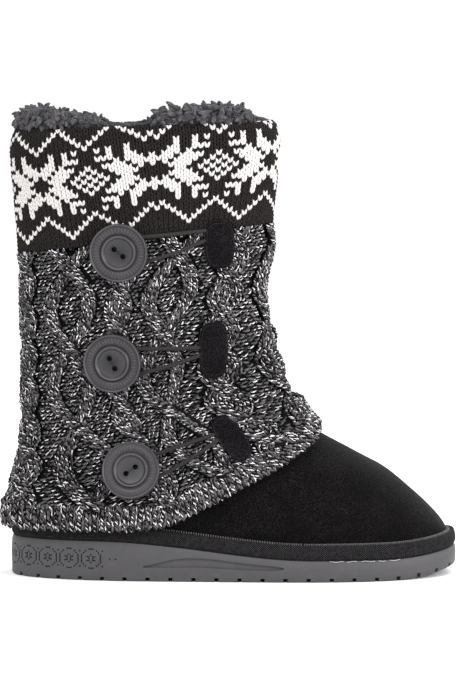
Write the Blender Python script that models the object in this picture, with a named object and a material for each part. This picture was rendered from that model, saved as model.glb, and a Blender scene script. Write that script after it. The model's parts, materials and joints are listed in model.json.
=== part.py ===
"""Knit-covered winter boot for a right foot, modelled for Blender 4.5.

Metres. The toe points along +X, the outer side of the foot faces -Y and +Z is up.
While it is modelled, X = 0 is the back of the sole and Z = 0 is the ground.
The last step moves the whole boot so that the origin is at the bottom centre of its box.
"""

import math
from collections import namedtuple
from functools import lru_cache

import bmesh
import bpy
from mathutils import Matrix, Vector
from mathutils.bvhtree import BVHTree

# Driving sizes of the sole and last
SOLE_LENGTH = 0.267
SOLE_WIDTH = 0.100
SOLE_WIDEST = 0.655
RUBBER_AT_HEEL = 0.023
RUBBER_AT_BALL = 0.0122
TOE_SPRING = 0.006
TOE_SPRING_LENGTH = 0.045
TOE_TOP_LIFT = 0.8
MIDSOLE_THICKNESS = 0.008
FEATHER_INSET = 0.005
WAIST_INNER = 0.006
WAIST_OUTER = 0.0025
INFLARE = 0.004

# Driving sizes of the boot above the sole
COLLAR_HEIGHT = 0.268
COLLAR_TILT = 0.0025
UPPER_WALL = 0.0025
KNIT_WALL = 0.004
KNIT_EASE = 0.0010
CUFF_EASE = 0.0022
SEAM_HEIGHT = 0.2025
SEAM_TILT = 0.0092
HEM_RISE_START = 0.088
HEM_EASE = 0.012
HEM_SLOPE = 0.45
HEM_BEND = 0.19
HEM_FRONT_RISE = 0.0075
HEM_FRONT_SPREAD = 0.5
HEM_DROP = 0.0016
HEM_FLARE = 0.0057
FLARE_BANDS = 3.2
BAND_EDGE = 0.3
HEM_BAND = 0.015
HEM_THICKER = 0.0008
LINING_WALL = 0.006
LINING_DEPTH = 0.045
LINING_RISE = 0.0102
FLEECE_SETBACK = 0.0015
LOCK_LENGTH = 0.0034
INSOLE_THICKNESS = 0.004
GAP = 0.0003

# Ground lugs and the blade-shaped recess in each side of the rubber
LUG_PITCH = 0.0133
LUG_LENGTH = 0.016
GROOVE_WIDTH = 0.0025
GROOVE_DEPTH = 0.0024
CROSS_PITCH = 0.0266
CROSS_MARGIN = 1.7
CROSS_INSET = 1.35
GROUND_BEVEL = 0.0012
RECESS_START = 0.080
RECESS_LENGTH = 0.083
RECESS_DEPTH = 0.0012

# Buttons, elastic loops and suede tabs
SKIN_STEP = 0.004
BUTTON_RADIUS = 0.0171
BUTTON_THICKNESS = 0.0042
BUTTON_ROUND = 0.0008
BUTTON_DISH_RADIUS = 0.0100
BUTTON_DISH_DEPTH = 0.0011
BUTTON_HOLE_RADIUS = 0.0014
BUTTON_HOLE_SPACING = 0.0066
SHANK_RADIUS = 0.0058
SHANK_HEIGHT = 0.0041
LOOP_DIAMETER = 0.0024
LOOP_HALF = 0.0080
LOOP_SAG = 0.0015
TAB_LENGTH = 0.0325
TAB_WIDTH = 0.017
TAB_THICKNESS = 0.003
TAB_SQUARENESS = 3.0

# Mesh densities
COLUMNS = 44
KNIT_ROWS = 16
UPPER_ROWS = 16
INNER_ROWS = 9
FLEECE_COLUMNS = 60
ROUND_STEPS = 20
SOLE_COLUMNS = 56
HEM_STEPS = 144

# Sections of the last, from the feather line up to the collar.
# height: share of UPPER_HEIGHT. back, front, widest: shares of LAST_LENGTH from the back of the feather line.
# half: share of LAST_HALF. nose, tail: roundness in front of and behind the widest point, where 2 is an
# ellipse. waist: share of the waist's dents.
Section = namedtuple("Section", "height back front widest half nose tail waist")
LAST_SECTIONS = (
    (0.000, 0.0000, 1.0000, 0.660, 1.000, 2.35, 2.50, 1.00),
    (0.024, -0.0015, 0.9920, 0.655, 1.022, 2.30, 2.50, 1.00),
    (0.066, 0.0000, 0.9640, 0.635, 1.025, 2.20, 2.45, 0.85),
    (0.115, 0.0050, 0.9210, 0.595, 0.985, 2.10, 2.40, 0.60),
    (0.176, 0.0130, 0.8500, 0.530, 0.900, 2.05, 2.35, 0.30),
    (0.218, 0.0180, 0.7780, 0.470, 0.845, 2.00, 2.30, 0.10),
    (0.259, 0.0220, 0.7040, 0.420, 0.800, 2.00, 2.30, 0.00),
    (0.306, 0.0245, 0.6300, 0.370, 0.775, 2.00, 2.25, 0.00),
    (0.363, 0.0270, 0.5850, 0.330, 0.770, 2.00, 2.20, 0.00),
    (0.435, 0.0270, 0.5620, 0.310, 0.785, 2.00, 2.20, 0.00),
    (0.565, 0.0255, 0.5550, 0.295, 0.820, 2.10, 2.20, 0.00),
    (0.726, 0.0205, 0.5635, 0.295, 0.840, 2.20, 2.20, 0.00),
    (0.887, 0.0135, 0.5740, 0.295, 0.845, 2.20, 2.20, 0.00),
    (1.000, 0.0105, 0.5760, 0.295, 0.850, 2.20, 2.20, 0.00),
)

# Soft folds of the knit where it slouches over the instep.
# height: share of UPPER_HEIGHT. spread: share of UPPER_HEIGHT. bulge: share of KNIT_WALL. hug: how far
# the fold keeps to the front, as a power.
KNIT_FOLDS = (
    (0.500, 0.032, 0.85, 2.0),
    (0.415, 0.056, 2.20, 2.0),
    (0.316, 0.034, 1.50, 3.0),
    (0.680, 0.060, 0.22, 1.0),
)

# Rows of the upper's outer and inner faces, and of the cable knit, crowd towards the sole by these powers.
UPPER_CROWD = 1.55
KNIT_CROWD = 0.8
# Rows of the cuff. drop: share of its height below the rim. roll: how far the rim is rounded in, as a
# share of KNIT_WALL. both: whether the inner face has the row too.
CUFF_PROFILE = (
    (0.000, 0.60, True),
    (0.030, 0.14, False),
    (0.160, 0.00, False),
    (0.420, 0.00, True),
    (0.700, 0.00, False),
    (1.000, 0.00, True),
)

# Profile of the fleece, from its lower outer edge round to its lower inner edge. out: from its inner
# face (0) to its overhang (1). up: share of its rise above the collar. lock: how far its locks reach.
FLEECE_PROFILE = (
    (1.00, 0.00, 0.0),
    (1.06, 0.30, 1.0),
    (0.95, 0.72, 1.0),
    (0.62, 1.00, 1.0),
    (0.22, 0.92, 1.0),
    (-0.06, 0.45, 1.0),
    (0.02, 0.00, 0.4),
)

# Closures from the top down. button_x, tab_x: shares of SOLE_LENGTH. button_z, tab_z: shares of
# SEAM_HEIGHT. width, length: shares of TAB_WIDTH and TAB_LENGTH. lean: degrees to the back.
# upper, lower: where the loop's strands meet the tab, as shares of its length from its middle.
# turn: degrees from level of the line through the button's holes.
Closure = namedtuple("Closure", "name button_x button_z tab_x tab_z width length lean upper lower turn")
CLOSURES = (
    ("top", 0.2490, 0.962, 0.4650, 0.985, 1.00, 0.87, 0.0, 0.290, 0.090, -39.0),
    ("middle", 0.2360, 0.641, 0.4525, 0.676, 0.97, 1.00, 0.0, 0.055, -0.090, -62.0),
    ("bottom", 0.2765, 0.318, 0.4935, 0.4195, 0.82, 0.96, 38.0, 0.230, 0.115, 35.0),
)

# The recess in the side of the rubber, from its pointed back to its round front. along: share of
# RECESS_LENGTH. middle, half: the height of its middle and its half height, as shares of RUBBER_AT_BALL.
RECESS_PROFILE = (
    (0.00, 0.720, 0.030),
    (0.08, 0.790, 0.090),
    (0.20, 0.890, 0.190),
    (0.35, 0.940, 0.225),
    (0.52, 0.890, 0.205),
    (0.70, 0.780, 0.165),
    (0.86, 0.710, 0.125),
    (0.96, 0.690, 0.085),
    (1.00, 0.685, 0.025),
)

# Side and rim of the platform plate. height: share of MIDSOLE_THICKNESS. inset: in from the sole's
# outline, and rise: above the plate, as shares of FEATHER_INSET.
RIM_PROFILE = (
    (0.03, 0.20, 0.00),
    (0.30, -0.02, 0.00),
    (0.75, 0.00, 0.00),
    (1.00, 0.16, 0.20),
    (1.00, 0.40, 0.32),
    (1.00, 0.68, 0.16),
    (1.00, 0.80, 0.00),
)

# Swells and dips of the fleece round the collar. place: angle from the front on either side.
# spread: angle over which it dies out. swell: share added to its rise.
FLEECE_SWELLS = (
    (0.00, 0.62, -0.80),
    (1.72, 0.20, -0.70),
    (2.60, 0.70, 0.08),
)

LAST_LENGTH = SOLE_LENGTH - 2 * FEATHER_INSET
LAST_HALF = SOLE_WIDTH / 2 - FEATHER_INSET
FEATHER_BASE = RUBBER_AT_BALL + MIDSOLE_THICKNESS
UPPER_HEIGHT = COLLAR_HEIGHT - FEATHER_BASE
LIFT_FADE = 0.060
OVER_FEATHER = 0.012
NORMAL_STEP = 0.0005
NORMAL_TURN = 0.01

MATERIALS = {
    "rubber": ((0.085, 0.082, 0.086), 0.62),
    "textile_band": ((0.028, 0.028, 0.030), 0.85),
    "fleece": ((0.045, 0.045, 0.050), 0.95),
    "suede": ((0.012, 0.012, 0.013), 0.92),
    "cable_knit": ((0.090, 0.090, 0.095), 0.95),
    "pattern_knit": ((0.030, 0.028, 0.030), 0.95),
    "button": ((0.095, 0.092, 0.098), 0.45),
    "elastic": ((0.035, 0.035, 0.037), 0.80),
}


def ease(t):
    """Smooth step from 0 to 1."""
    t = min(max(t, 0.0), 1.0)
    return t * t * (3 - 2 * t)


def mix(a, b, t):
    return a + (b - a) * t


def signed(angle):
    """The same angle between -pi and pi."""
    return math.remainder(angle, 2 * math.pi)


def row_at(rows, key):
    """The row of a table at a key in its first column, by a smooth curve through the rows."""
    keys = [row[0] for row in rows]
    key = min(max(key, keys[0]), keys[-1])
    i = next((k for k in range(len(keys) - 2) if key < keys[k + 1]), len(keys) - 2)
    span = keys[i + 1] - keys[i]
    t = (key - keys[i]) / span
    found = []
    for column in range(len(rows[0])):
        a, b = rows[i][column], rows[i + 1][column]
        before, after = rows[max(i - 1, 0)], rows[min(i + 2, len(rows) - 1)]
        slope_a = (b - before[column]) / (rows[i + 1][0] - before[0]) * span
        slope_b = (after[column] - a) / (after[0] - rows[i][0]) * span
        found.append(
            (2 * t**3 - 3 * t**2 + 1) * a
            + (t**3 - 2 * t**2 + t) * slope_a
            + (3 * t**2 - 2 * t**3) * b
            + (t**3 - t**2) * slope_b
        )
    return found


def ground_height(x):
    """Underside of the rubber, which turns up at the toe."""
    over = max(0.0, x - (SOLE_LENGTH - TOE_SPRING_LENGTH))
    return TOE_SPRING * (over / TOE_SPRING_LENGTH) ** 2


def rubber_top(x):
    """Top of the rubber: thick under the heel, thin from the ball on."""
    drop = ease((x / SOLE_LENGTH - 0.20) / 0.48)
    return mix(RUBBER_AT_HEEL, RUBBER_AT_BALL, drop) + TOE_TOP_LIFT * ground_height(x)


def feather_height(x):
    """Height of the feather line, where the upper meets the midsole."""
    return rubber_top(x) + MIDSOLE_THICKNESS


def egg(angle, back, front, widest, half, nose, tail):
    """A point of a closed outline. Angle 0 is the front, and positive angles go round the inner side."""
    c, s = math.cos(angle), math.sin(angle)
    power = 2 / (nose if c >= 0 else tail)
    reach = front - widest if c >= 0 else widest - back
    x = widest + math.copysign(abs(c) ** power, c) * reach
    y = math.copysign(abs(s) ** power, s) * half
    return x, y


def foot_curve(x, y, angle, waist):
    """Adds the waist's dents and the inward swing of the toes, which make it a right foot."""
    share = x / SOLE_LENGTH
    dent = waist * math.exp(-(((share - 0.42) / 0.17) ** 2)) * abs(math.sin(angle))
    y += -WAIST_INNER * dent if y > 0 else WAIST_OUTER * dent
    return y + INFLARE * max(0.0, (share - 0.5) / 0.5) ** 2


def sole_point(angle, inset, z):
    """A point of the sole's outline, moved in by inset, at a height."""
    half = SOLE_WIDTH / 2 - inset
    widest = SOLE_WIDEST * SOLE_LENGTH
    x, y = egg(angle, inset, SOLE_LENGTH - inset, widest, half, 2.35, 2.5)
    return Vector((x, foot_curve(x, y, angle, 1.0), z))


def last_point(level, angle):
    """Outer face of the upper. Level is the height above the feather line."""
    row = Section(*row_at(LAST_SECTIONS, level / UPPER_HEIGHT))
    back, front, widest = (FEATHER_INSET + share * LAST_LENGTH for share in (row.back, row.front, row.widest))
    x, y = egg(angle, back, front, widest, row.half * LAST_HALF, row.nose, row.tail)
    lift = (feather_height(x) - FEATHER_BASE) * (1 - ease(level / LIFT_FADE))
    y = foot_curve(x, y, angle, row.waist)
    return Vector((x, y, FEATHER_BASE + level + lift))


def last_normal(level, angle):
    """Outward normal of the upper. Near the feather line it is kept level."""
    up = last_point(level + NORMAL_STEP, angle) - last_point(level - NORMAL_STEP, angle)
    across = last_point(level, angle + NORMAL_TURN) - last_point(level, angle - NORMAL_TURN)
    normal = across.cross(up).normalized()
    normal.z *= ease(level / OVER_FEATHER)
    return normal.normalized()


def off_last(level, angle, out):
    """A point at a distance outside the upper's outer face."""
    return last_point(level, angle) + last_normal(level, angle) * out


def collar_level(angle):
    return UPPER_HEIGHT + COLLAR_TILT * math.cos(angle)


def seam_level(angle):
    """Where the patterned cuff is joined to the cable knit."""
    return SEAM_HEIGHT - FEATHER_BASE + SEAM_TILT * math.cos(angle)


def hem_rise(x, angle):
    """Rise of the knit's lower edge above its height at the heel."""
    past = x - HEM_RISE_START
    run = (past + math.hypot(past, HEM_EASE)) / 2
    front = HEM_FRONT_RISE * math.exp(-((angle / HEM_FRONT_SPREAD) ** 2))
    return HEM_SLOPE * run + HEM_BEND * run**2 / SOLE_LENGTH + front


@lru_cache(maxsize=None)
def hem_found(step):
    """Level and rise of the knit's lower edge at one of HEM_STEPS angles, found by halving."""
    angle = signed(2 * math.pi * step / HEM_STEPS)
    low, high = -2 * HEM_DROP, 0.45 * UPPER_HEIGHT
    for _ in range(30):
        middle = (low + high) / 2
        point = last_point(middle, angle)
        if point.z < feather_height(0.0) - HEM_DROP + hem_rise(point.x, angle):
            low = middle
        else:
            high = middle
    return low, hem_rise(last_point(low, angle).x, angle)


def hem_at(angle):
    """Level and rise of the knit's lower edge."""
    place = angle / (2 * math.pi) * HEM_STEPS
    step = math.floor(place)
    a, b = hem_found(step % HEM_STEPS), hem_found((step + 1) % HEM_STEPS)
    return mix(a[0], b[0], place - step), mix(a[1], b[1], place - step)


def hem_level(angle):
    return hem_at(angle)[0]


def knit_slack(level, angle):
    """How far the inside of the knit stands off the upper, beyond the gap."""
    hem, rise = hem_at(angle)
    slack = KNIT_EASE * ease((level - hem) / HEM_BAND + 0.5)
    front = (1 + math.cos(angle)) / 2
    for height, spread, bulge, hug in KNIT_FOLDS:
        near = math.exp(-(((level / UPPER_HEIGHT - height) / spread) ** 2))
        slack += bulge * KNIT_WALL * near * front**hug
    seam = seam_level(angle)
    slack += CUFF_EASE * ease((level - seam) / (collar_level(angle) - seam))
    over_sole = 1 - ease(rise / (HEM_FLARE + MIDSOLE_THICKNESS))
    return slack + HEM_FLARE * over_sole * (1 - ease((level + HEM_DROP) / (FLARE_BANDS * HEM_BAND)))


def knit_out(level, angle):
    """Distance of the knit's outer face from the upper."""
    band = HEM_THICKER * (1 - ease((level - hem_level(angle) - HEM_BAND) / (BAND_EDGE * HEM_BAND)))
    return GAP + knit_slack(level, angle) + KNIT_WALL + band


def even_angles(curve, count):
    """Angles that cut each half of a closed curve into equal lengths, from the front round the inner side."""
    steps = 180
    angles = []
    for side in (1, -1):
        turns = [side * math.pi * k / steps for k in range(steps + 1)]
        points = [curve(turn) for turn in turns]
        run = [0.0]
        for a, b in zip(points, points[1:]):
            run.append(run[-1] + (b - a).length)
        half = []
        for k in range(count // 2 + 1):
            wanted = run[-1] * k / (count // 2)
            i = next((n for n in range(steps) if run[n + 1] >= wanted), steps - 1)
            t = (wanted - run[i]) / (run[i + 1] - run[i])
            half.append(mix(turns[i], turns[i + 1], t))
        angles.append(half)
    inner, outer = angles
    return inner[:-1] + [angle + 2 * math.pi for angle in reversed(outer[1:])]


def knit_columns():
    """For each column of the knit: its angle and level at the seam, and at the hem."""
    tops = even_angles(lambda a: last_point(seam_level(a), a), COLUMNS)
    feet = even_angles(lambda a: last_point(hem_level(a), a), COLUMNS)
    return [
        (top, seam_level(top), foot, hem_level(signed(foot)))
        for top, foot in zip(tops, feet)
    ]


def material(name):
    """A plain material in the part's colour."""
    if name in bpy.data.materials:
        return bpy.data.materials[name]
    colour, roughness = MATERIALS[name]
    made = bpy.data.materials.new(name)
    made.use_nodes = True
    shader = made.node_tree.nodes["Principled BSDF"]
    shader.inputs["Base Color"].default_value = (*colour, 1.0)
    shader.inputs["Roughness"].default_value = roughness
    shader.inputs["Metallic"].default_value = 0.0
    made.diffuse_color = (*colour, 1.0)
    return made


def add_object(name, points, faces, material_name):
    """A closed mesh as one named object, with its faces pointing out and smooth where it is round."""
    mesh = bpy.data.meshes.new(name)
    mesh.from_pydata([tuple(point) for point in points], [], faces)
    shape = bmesh.new()
    shape.from_mesh(mesh)
    bmesh.ops.recalc_face_normals(shape, faces=shape.faces)
    bmesh.ops.triangulate(shape, faces=shape.faces)
    shape.to_mesh(mesh)
    shape.free()
    mesh.shade_smooth()
    mesh.set_sharp_from_angle(angle=math.radians(40))
    mesh.materials.append(material(material_name))
    made = bpy.data.objects.new(name, mesh)
    bpy.context.scene.collection.objects.link(made)
    return made


def ring_faces(start_a, start_b, count):
    """Quads between two closed rings of points."""
    return [
        (start_a + k, start_a + (k + 1) % count, start_b + (k + 1) % count, start_b + k)
        for k in range(count)
    ]


def tube_shell(name, rings, material_name):
    """A hollow wall: closed rings that go up the outside and down the inside, joined end to end."""
    count = len(rings[0])
    points = [point for ring in rings for point in ring]
    faces = []
    for r in range(len(rings)):
        faces += ring_faces(r * count, (r + 1) % len(rings) * count, count)
    return add_object(name, points, faces, material_name)


def cap_faces(start, count):
    """Strips across a closed ring whose points run round both sides from the front centre."""
    faces = [(start, start + 1, start + count - 1)]
    half = count // 2
    for k in range(1, half - 1):
        faces.append((start + k, start + k + 1, start + count - k - 1, start + count - k))
    faces.append((start + half - 1, start + half, start + half + 1))
    return faces


def slab(name, rings, material_name):
    """A solid plate from closed rings, bottom to top, with both ends filled."""
    count = len(rings[0])
    points = [point for ring in rings for point in ring]
    faces = cap_faces(0, count) + cap_faces((len(rings) - 1) * count, count)
    for r in range(len(rings) - 1):
        faces += ring_faces(r * count, (r + 1) * count, count)
    return add_object(name, points, faces, material_name)


def turns(count):
    return [2 * math.pi * k / count for k in range(count)]


def cut_away(target, cutter):
    """Subtracts a hidden cutter."""
    cutter.hide_render = True
    cutter.display_type = "WIRE"
    cut = target.modifiers.new(cutter.name, "BOOLEAN")
    cut.operation = "DIFFERENCE"
    cut.solver = "EXACT"
    cut.object = cutter


def edge_frame(angle):
    """A point of the sole's outline with its outward and forward-going directions."""
    edge = sole_point(angle, 0.0, 0.0)
    along = sole_point(angle + NORMAL_TURN, 0.0, 0.0) - sole_point(angle - NORMAL_TURN, 0.0, 0.0)
    along.normalize()
    return edge, Vector((along.y, -along.x, 0.0)), along


def block_faces(n):
    """Faces of a block whose bottom four corners are followed by its top four."""
    return [(n + 3, n + 2, n + 1, n), (n + 4, n + 5, n + 6, n + 7)] + ring_faces(n, n + 4, 4)


def groove_blocks(runs, name):
    """One block for each straight groove, given its two ends."""
    points, faces = [], []
    for start, end in runs:
        along = (end - start).normalized()
        aside = Vector((-along.y, along.x, 0.0)) * GROOVE_WIDTH / 2
        corners = (start - aside, end - aside, end + aside, start + aside)
        faces += block_faces(len(points))
        points += [Vector((corner.x, corner.y, -GROOVE_DEPTH)) for corner in corners]
        points += [Vector((corner.x, corner.y, ground_height(corner.x) + GROOVE_DEPTH)) for corner in corners]
    return add_object(name, points, faces, "rubber")


def edge_groove_cutter():
    """Grooves in from the edge at an even pitch all round, which leave the row of edge lugs."""
    rough = sum(
        (sole_point(b, 0.0, 0.0) - sole_point(a, 0.0, 0.0)).length
        for a, b in zip(turns(HEM_STEPS), turns(HEM_STEPS)[1:] + [2 * math.pi])
    )
    count = 2 * round(rough / LUG_PITCH / 2)
    runs = []
    for angle in even_angles(lambda a: sole_point(a, 0.0, 0.0), 2 * count)[1::2]:
        edge, outward, _ = edge_frame(angle)
        runs.append((edge - outward * LUG_LENGTH, edge + outward * GROOVE_WIDTH))
    return groove_blocks(runs, "edge_groove_cutter")


def cross_groove_cutter():
    """Grooves across the middle of the tread, clear of the edge lugs."""
    start, stop = CROSS_MARGIN * LUG_LENGTH, SOLE_LENGTH - CROSS_MARGIN * LUG_LENGTH
    count = round((stop - start) / CROSS_PITCH)
    runs = []
    for k in range(count):
        x = start + (k + 0.5) * (stop - start) / count
        ends = [sole_point(angle_at(x, side), CROSS_INSET * LUG_LENGTH, 0.0).y for side in (1, -1)]
        runs.append((Vector((x, ends[1], 0.0)), Vector((x, ends[0], 0.0))))
    return groove_blocks(runs, "cross_groove_cutter")


def recess_cutter(side):
    """A strip along one side of the rubber, pointed at the back and round at the front."""
    points = []
    for along, middle, half in RECESS_PROFILE:
        x = RECESS_START + along * RECESS_LENGTH
        angle = angle_at(x, side)
        for out in (RECESS_DEPTH, -RECESS_DEPTH):
            edge = sole_point(angle, -out, 0.0)
            points += [
                Vector((x, edge.y, (middle - half) * RUBBER_AT_BALL)),
                Vector((x, edge.y, (middle + half) * RUBBER_AT_BALL)),
            ]
    faces = [(0, 2, 3, 1)]
    for station in range(len(RECESS_PROFILE) - 1):
        a, b = 4 * station, 4 * (station + 1)
        for i, j in ((0, 1), (1, 3), (3, 2), (2, 0)):
            faces.append((a + i, a + j, b + j, b + i))
    last = len(points) - 4
    faces.append((last, last + 1, last + 3, last + 2))
    return add_object(f"recess_cutter_{'inner' if side > 0 else 'outer'}", points, faces, "rubber")


def angle_at(x, side):
    """Angle of the sole's outline at a distance from its back, on one side."""
    low, high = 0.0, math.pi
    for _ in range(40):
        middle = (low + high) / 2
        if sole_point(middle, 0.0, 0.0).x > x:
            low = middle
        else:
            high = middle
    return side * low


def build_outsole():
    """Rubber unit with ground lugs, toe spring and a long recess in each side."""
    side = ((0.0, GROUND_BEVEL, 0.0), (0.0, 0.0, GROUND_BEVEL), (0.55, -GAP, 0.0), (1.0, GAP, 0.0))
    rings = []
    for share, inset, low in side:
        ring = []
        for angle in turns(SOLE_COLUMNS):
            edge = sole_point(angle, inset, 0.0)
            edge.z = mix(ground_height(edge.x), rubber_top(edge.x), share) + low
            ring.append(edge)
        rings.append(ring)
    outsole = slab("outsole", rings, "rubber")
    for cutter in (edge_groove_cutter(), cross_groove_cutter(), recess_cutter(1), recess_cutter(-1)):
        cut_away(outsole, cutter)
    return outsole


def build_midsole():
    """Platform plate wrapped in textile, with a soft raised rim round the foot of the upper."""
    rings = []
    for height, inset, rise in RIM_PROFILE:
        ring = []
        for angle in turns(SOLE_COLUMNS):
            edge = sole_point(angle, inset * FEATHER_INSET, 0.0)
            edge.z = mix(rubber_top(edge.x) + GAP, feather_height(edge.x), height) + rise * FEATHER_INSET
            ring.append(edge)
        rings.append(ring)
    return slab("midsole", rings, "textile_band")


def build_insole():
    """Footbed inside the upper."""
    out = -(UPPER_WALL + 2 * GAP)
    bevel = INSOLE_THICKNESS / 4
    rings = [
        [off_last(level, angle, out - inset) for angle in turns(COLUMNS)]
        for level, inset in ((GAP, 0.0), (INSOLE_THICKNESS - bevel, 0.0), (INSOLE_THICKNESS, bevel))
    ]
    return slab("insole", rings, "fleece")


def build_upper():
    """Suede boot upper: one wall from the feather line to the collar, open at both."""
    angles = turns(COLUMNS)
    faces = []
    for rows, out in ((UPPER_ROWS, 0.0), (INNER_ROWS, -UPPER_WALL)):
        rings = []
        for k in range(rows + 1):
            share = (k / rows) ** UPPER_CROWD
            places = [(mix(GAP, collar_level(angle), share), angle) for angle in angles]
            rings.append([off_last(level, angle, out) for level, angle in places])
        faces.append(rings)
    outer, inner = faces
    return tube_shell("upper", outer + inner[::-1], "suede")


def shaft_rings():
    """Outer and inner rings of the cable-knit cover, from the cuff's seam down to the sloping hem."""
    columns = knit_columns()
    faces = []
    for rows, wall in ((KNIT_ROWS, True), (INNER_ROWS, False)):
        rings = []
        for r in range(rows + 1):
            v = (r / rows) ** KNIT_CROWD
            ring = []
            for top, top_level, foot, foot_level in columns:
                level, angle = mix(top_level - GAP, foot_level, v), signed(mix(top, foot, v))
                out = knit_out(level, angle) if wall else GAP + knit_slack(level, angle)
                ring.append(off_last(level, angle, out))
            rings.append(ring)
        faces.append(rings)
    return faces


def cuff_rings():
    """Outer and inner rings of the patterned cuff, from its rounded rim down to its seam."""
    outer, inner = [], []
    tops = [signed(column[0]) for column in knit_columns()]
    for drop, roll, both in CUFF_PROFILE:
        places = [(mix(collar_level(angle), seam_level(angle), drop), angle) for angle in tops]
        out_roll = roll * KNIT_WALL
        outer.append([off_last(level, angle, knit_out(level, angle) - out_roll) for level, angle in places])
        if both:
            inner.append([off_last(level, angle, GAP + knit_slack(level, angle)) for level, angle in places])
    return outer, inner


def fleece_swell(angle):
    """Fullness of the fleece: flat in front, and pulled in at the two side seams."""
    away = abs(signed(angle))
    swell = 1.0
    for place, spread, more in FLEECE_SWELLS:
        swell *= 1 + more * math.exp(-(((away - place) / spread) ** 4))
    return swell * (1 + 0.07 * math.sin(3 * angle + 0.6) + 0.06 * math.sin(7 * angle))


def build_collar_lining():
    """Fleece lining inside the collar, spilling over its rim in short locks."""
    wall_out = -(UPPER_WALL + GAP)
    wall_in = wall_out - LINING_WALL
    angles = turns(FLEECE_COLUMNS)
    rings = []
    for out, drop in ((wall_out, LINING_DEPTH), (wall_out, -GAP)):
        rings.append([off_last(collar_level(angle) - drop, angle, out) for angle in angles])
    for p, (out, up, lock) in enumerate(FLEECE_PROFILE):
        ring = []
        for k, angle in enumerate(angles):
            swell = fleece_swell(angle)
            reach = mix(0.0, knit_out(collar_level(angle), angle) - FLEECE_SETBACK, min(1.0, swell))
            wave = math.sin(2.4 * k + 1.9 * p) + 0.6 * math.sin(5.1 * k + 3.3 * p)
            push = 0.5 * lock * LOCK_LENGTH * wave * min(1.0, swell + 0.2)
            level = collar_level(angle) + GAP + up * (LINING_RISE * swell + push)
            ring.append(off_last(level, angle, mix(wall_in, reach, out) + push))
        rings.append(ring)
    rings.append([off_last(collar_level(angle) - LINING_DEPTH, angle, wall_in) for angle in angles])
    return tube_shell("collar_lining", rings, "fleece")


def knit_skin(rings):
    """One unbroken skin over both knit pieces, ready to be measured."""
    points, faces = [], []
    for ring in rings:
        if points:
            faces += ring_faces(len(points) - COLUMNS, len(points), COLUMNS)
        points += ring
    return BVHTree.FromPolygons(points, faces)


def skin_place(skin, x, z):
    """The outer side's place at a distance from the heel and a height."""
    return skin.ray_cast(Vector((x, -SOLE_WIDTH, z)), Vector((0, 1, 0)))[0]


def skin_normal(skin, x, z):
    """The outer side's direction there, evened out over a small patch."""
    fore = skin_place(skin, x + SKIN_STEP, z) - skin_place(skin, x - SKIN_STEP, z)
    rise = skin_place(skin, x, z + SKIN_STEP) - skin_place(skin, x, z - SKIN_STEP)
    return fore.cross(rise).normalized()


def over_skin(skin, x, z, height):
    """A place at a height over the outer side."""
    return skin_place(skin, x, z) + skin_normal(skin, x, z) * height


def skin_frame(skin, x, z):
    """A frame on the outer side: its X runs forward, its Y up the shaft and its Z outward."""
    normal = skin_normal(skin, x, z)
    forward = Vector((1, 0, 0))
    forward = (forward - normal * forward.dot(normal)).normalized()
    frame = Matrix((forward, normal.cross(forward), normal)).transposed().to_4x4()
    frame.translation = skin_place(skin, x, z)
    return frame


def button_stand(skin, frame, x, z):
    """How far the knit under a button rises above its middle."""
    stand = 0.0
    for reach in (0.5 * BUTTON_RADIUS, BUTTON_RADIUS):
        for turn in turns(12):
            place = skin_place(skin, x + reach * math.cos(turn), z + reach * math.sin(turn))
            stand = max(stand, (place - frame.translation).dot(frame.col[2].to_3d()))
    return stand


def button_holes(name, frame, front, turned):
    """Cutter for the two holes."""
    sides = 8
    line = Vector((math.cos(math.radians(turned)), math.sin(math.radians(turned)), 0))
    points, faces = [], []
    for side in (-1, 1):
        start = len(points)
        for height in (-2 * SHANK_HEIGHT, front + 2 * GAP):
            for turn in turns(sides):
                across = Vector((math.cos(turn), math.sin(turn), 0)) * BUTTON_HOLE_RADIUS
                offset = line * (side * BUTTON_HOLE_SPACING / 2) + Vector((0, 0, height))
                points.append(frame @ (offset + across))
        faces += ring_faces(start, start + sides, sides)
        faces += [tuple(range(start, start + sides)), tuple(range(start + sides, start + 2 * sides))]
    return add_object(f"{name}_holes", points, faces, "button")


def build_button(skin, name, x, z, turned):
    """Two-hole button with a raised flat rim, a dished middle and a short boss behind."""
    frame = skin_frame(skin, x, z)
    back = SHANK_HEIGHT + button_stand(skin, frame, x, z)
    front = back + BUTTON_THICKNESS
    profile = (
        (BUTTON_DISH_RADIUS - BUTTON_DISH_DEPTH, front - BUTTON_DISH_DEPTH),
        (BUTTON_DISH_RADIUS, front),
        (BUTTON_RADIUS - BUTTON_ROUND, front),
        (BUTTON_RADIUS, front - BUTTON_ROUND),
        (BUTTON_RADIUS, back + BUTTON_ROUND),
        (BUTTON_RADIUS - BUTTON_ROUND, back),
        (SHANK_RADIUS, back),
    )
    points, faces = [], []
    for radius, height in profile:
        for turn in turns(ROUND_STEPS):
            points.append(frame @ Vector((radius * math.cos(turn), radius * math.sin(turn), height)))
    for turn in turns(ROUND_STEPS):
        points.append(
            over_skin(skin, x + SHANK_RADIUS * math.cos(turn), z + SHANK_RADIUS * math.sin(turn), 2 * GAP)
        )
    for r in range(len(profile)):
        faces += ring_faces(r * ROUND_STEPS, (r + 1) * ROUND_STEPS, ROUND_STEPS)
    faces.append(tuple(range(ROUND_STEPS)))
    hub = len(points)
    foot = hub - ROUND_STEPS
    points.append(over_skin(skin, x, z, 2 * GAP))
    faces += [(foot + k, foot + (k + 1) % ROUND_STEPS, hub) for k in range(ROUND_STEPS)]
    button = add_object(name, points, faces, "button")
    cut_away(button, button_holes(name, frame, front, turned))
    return button


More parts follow.
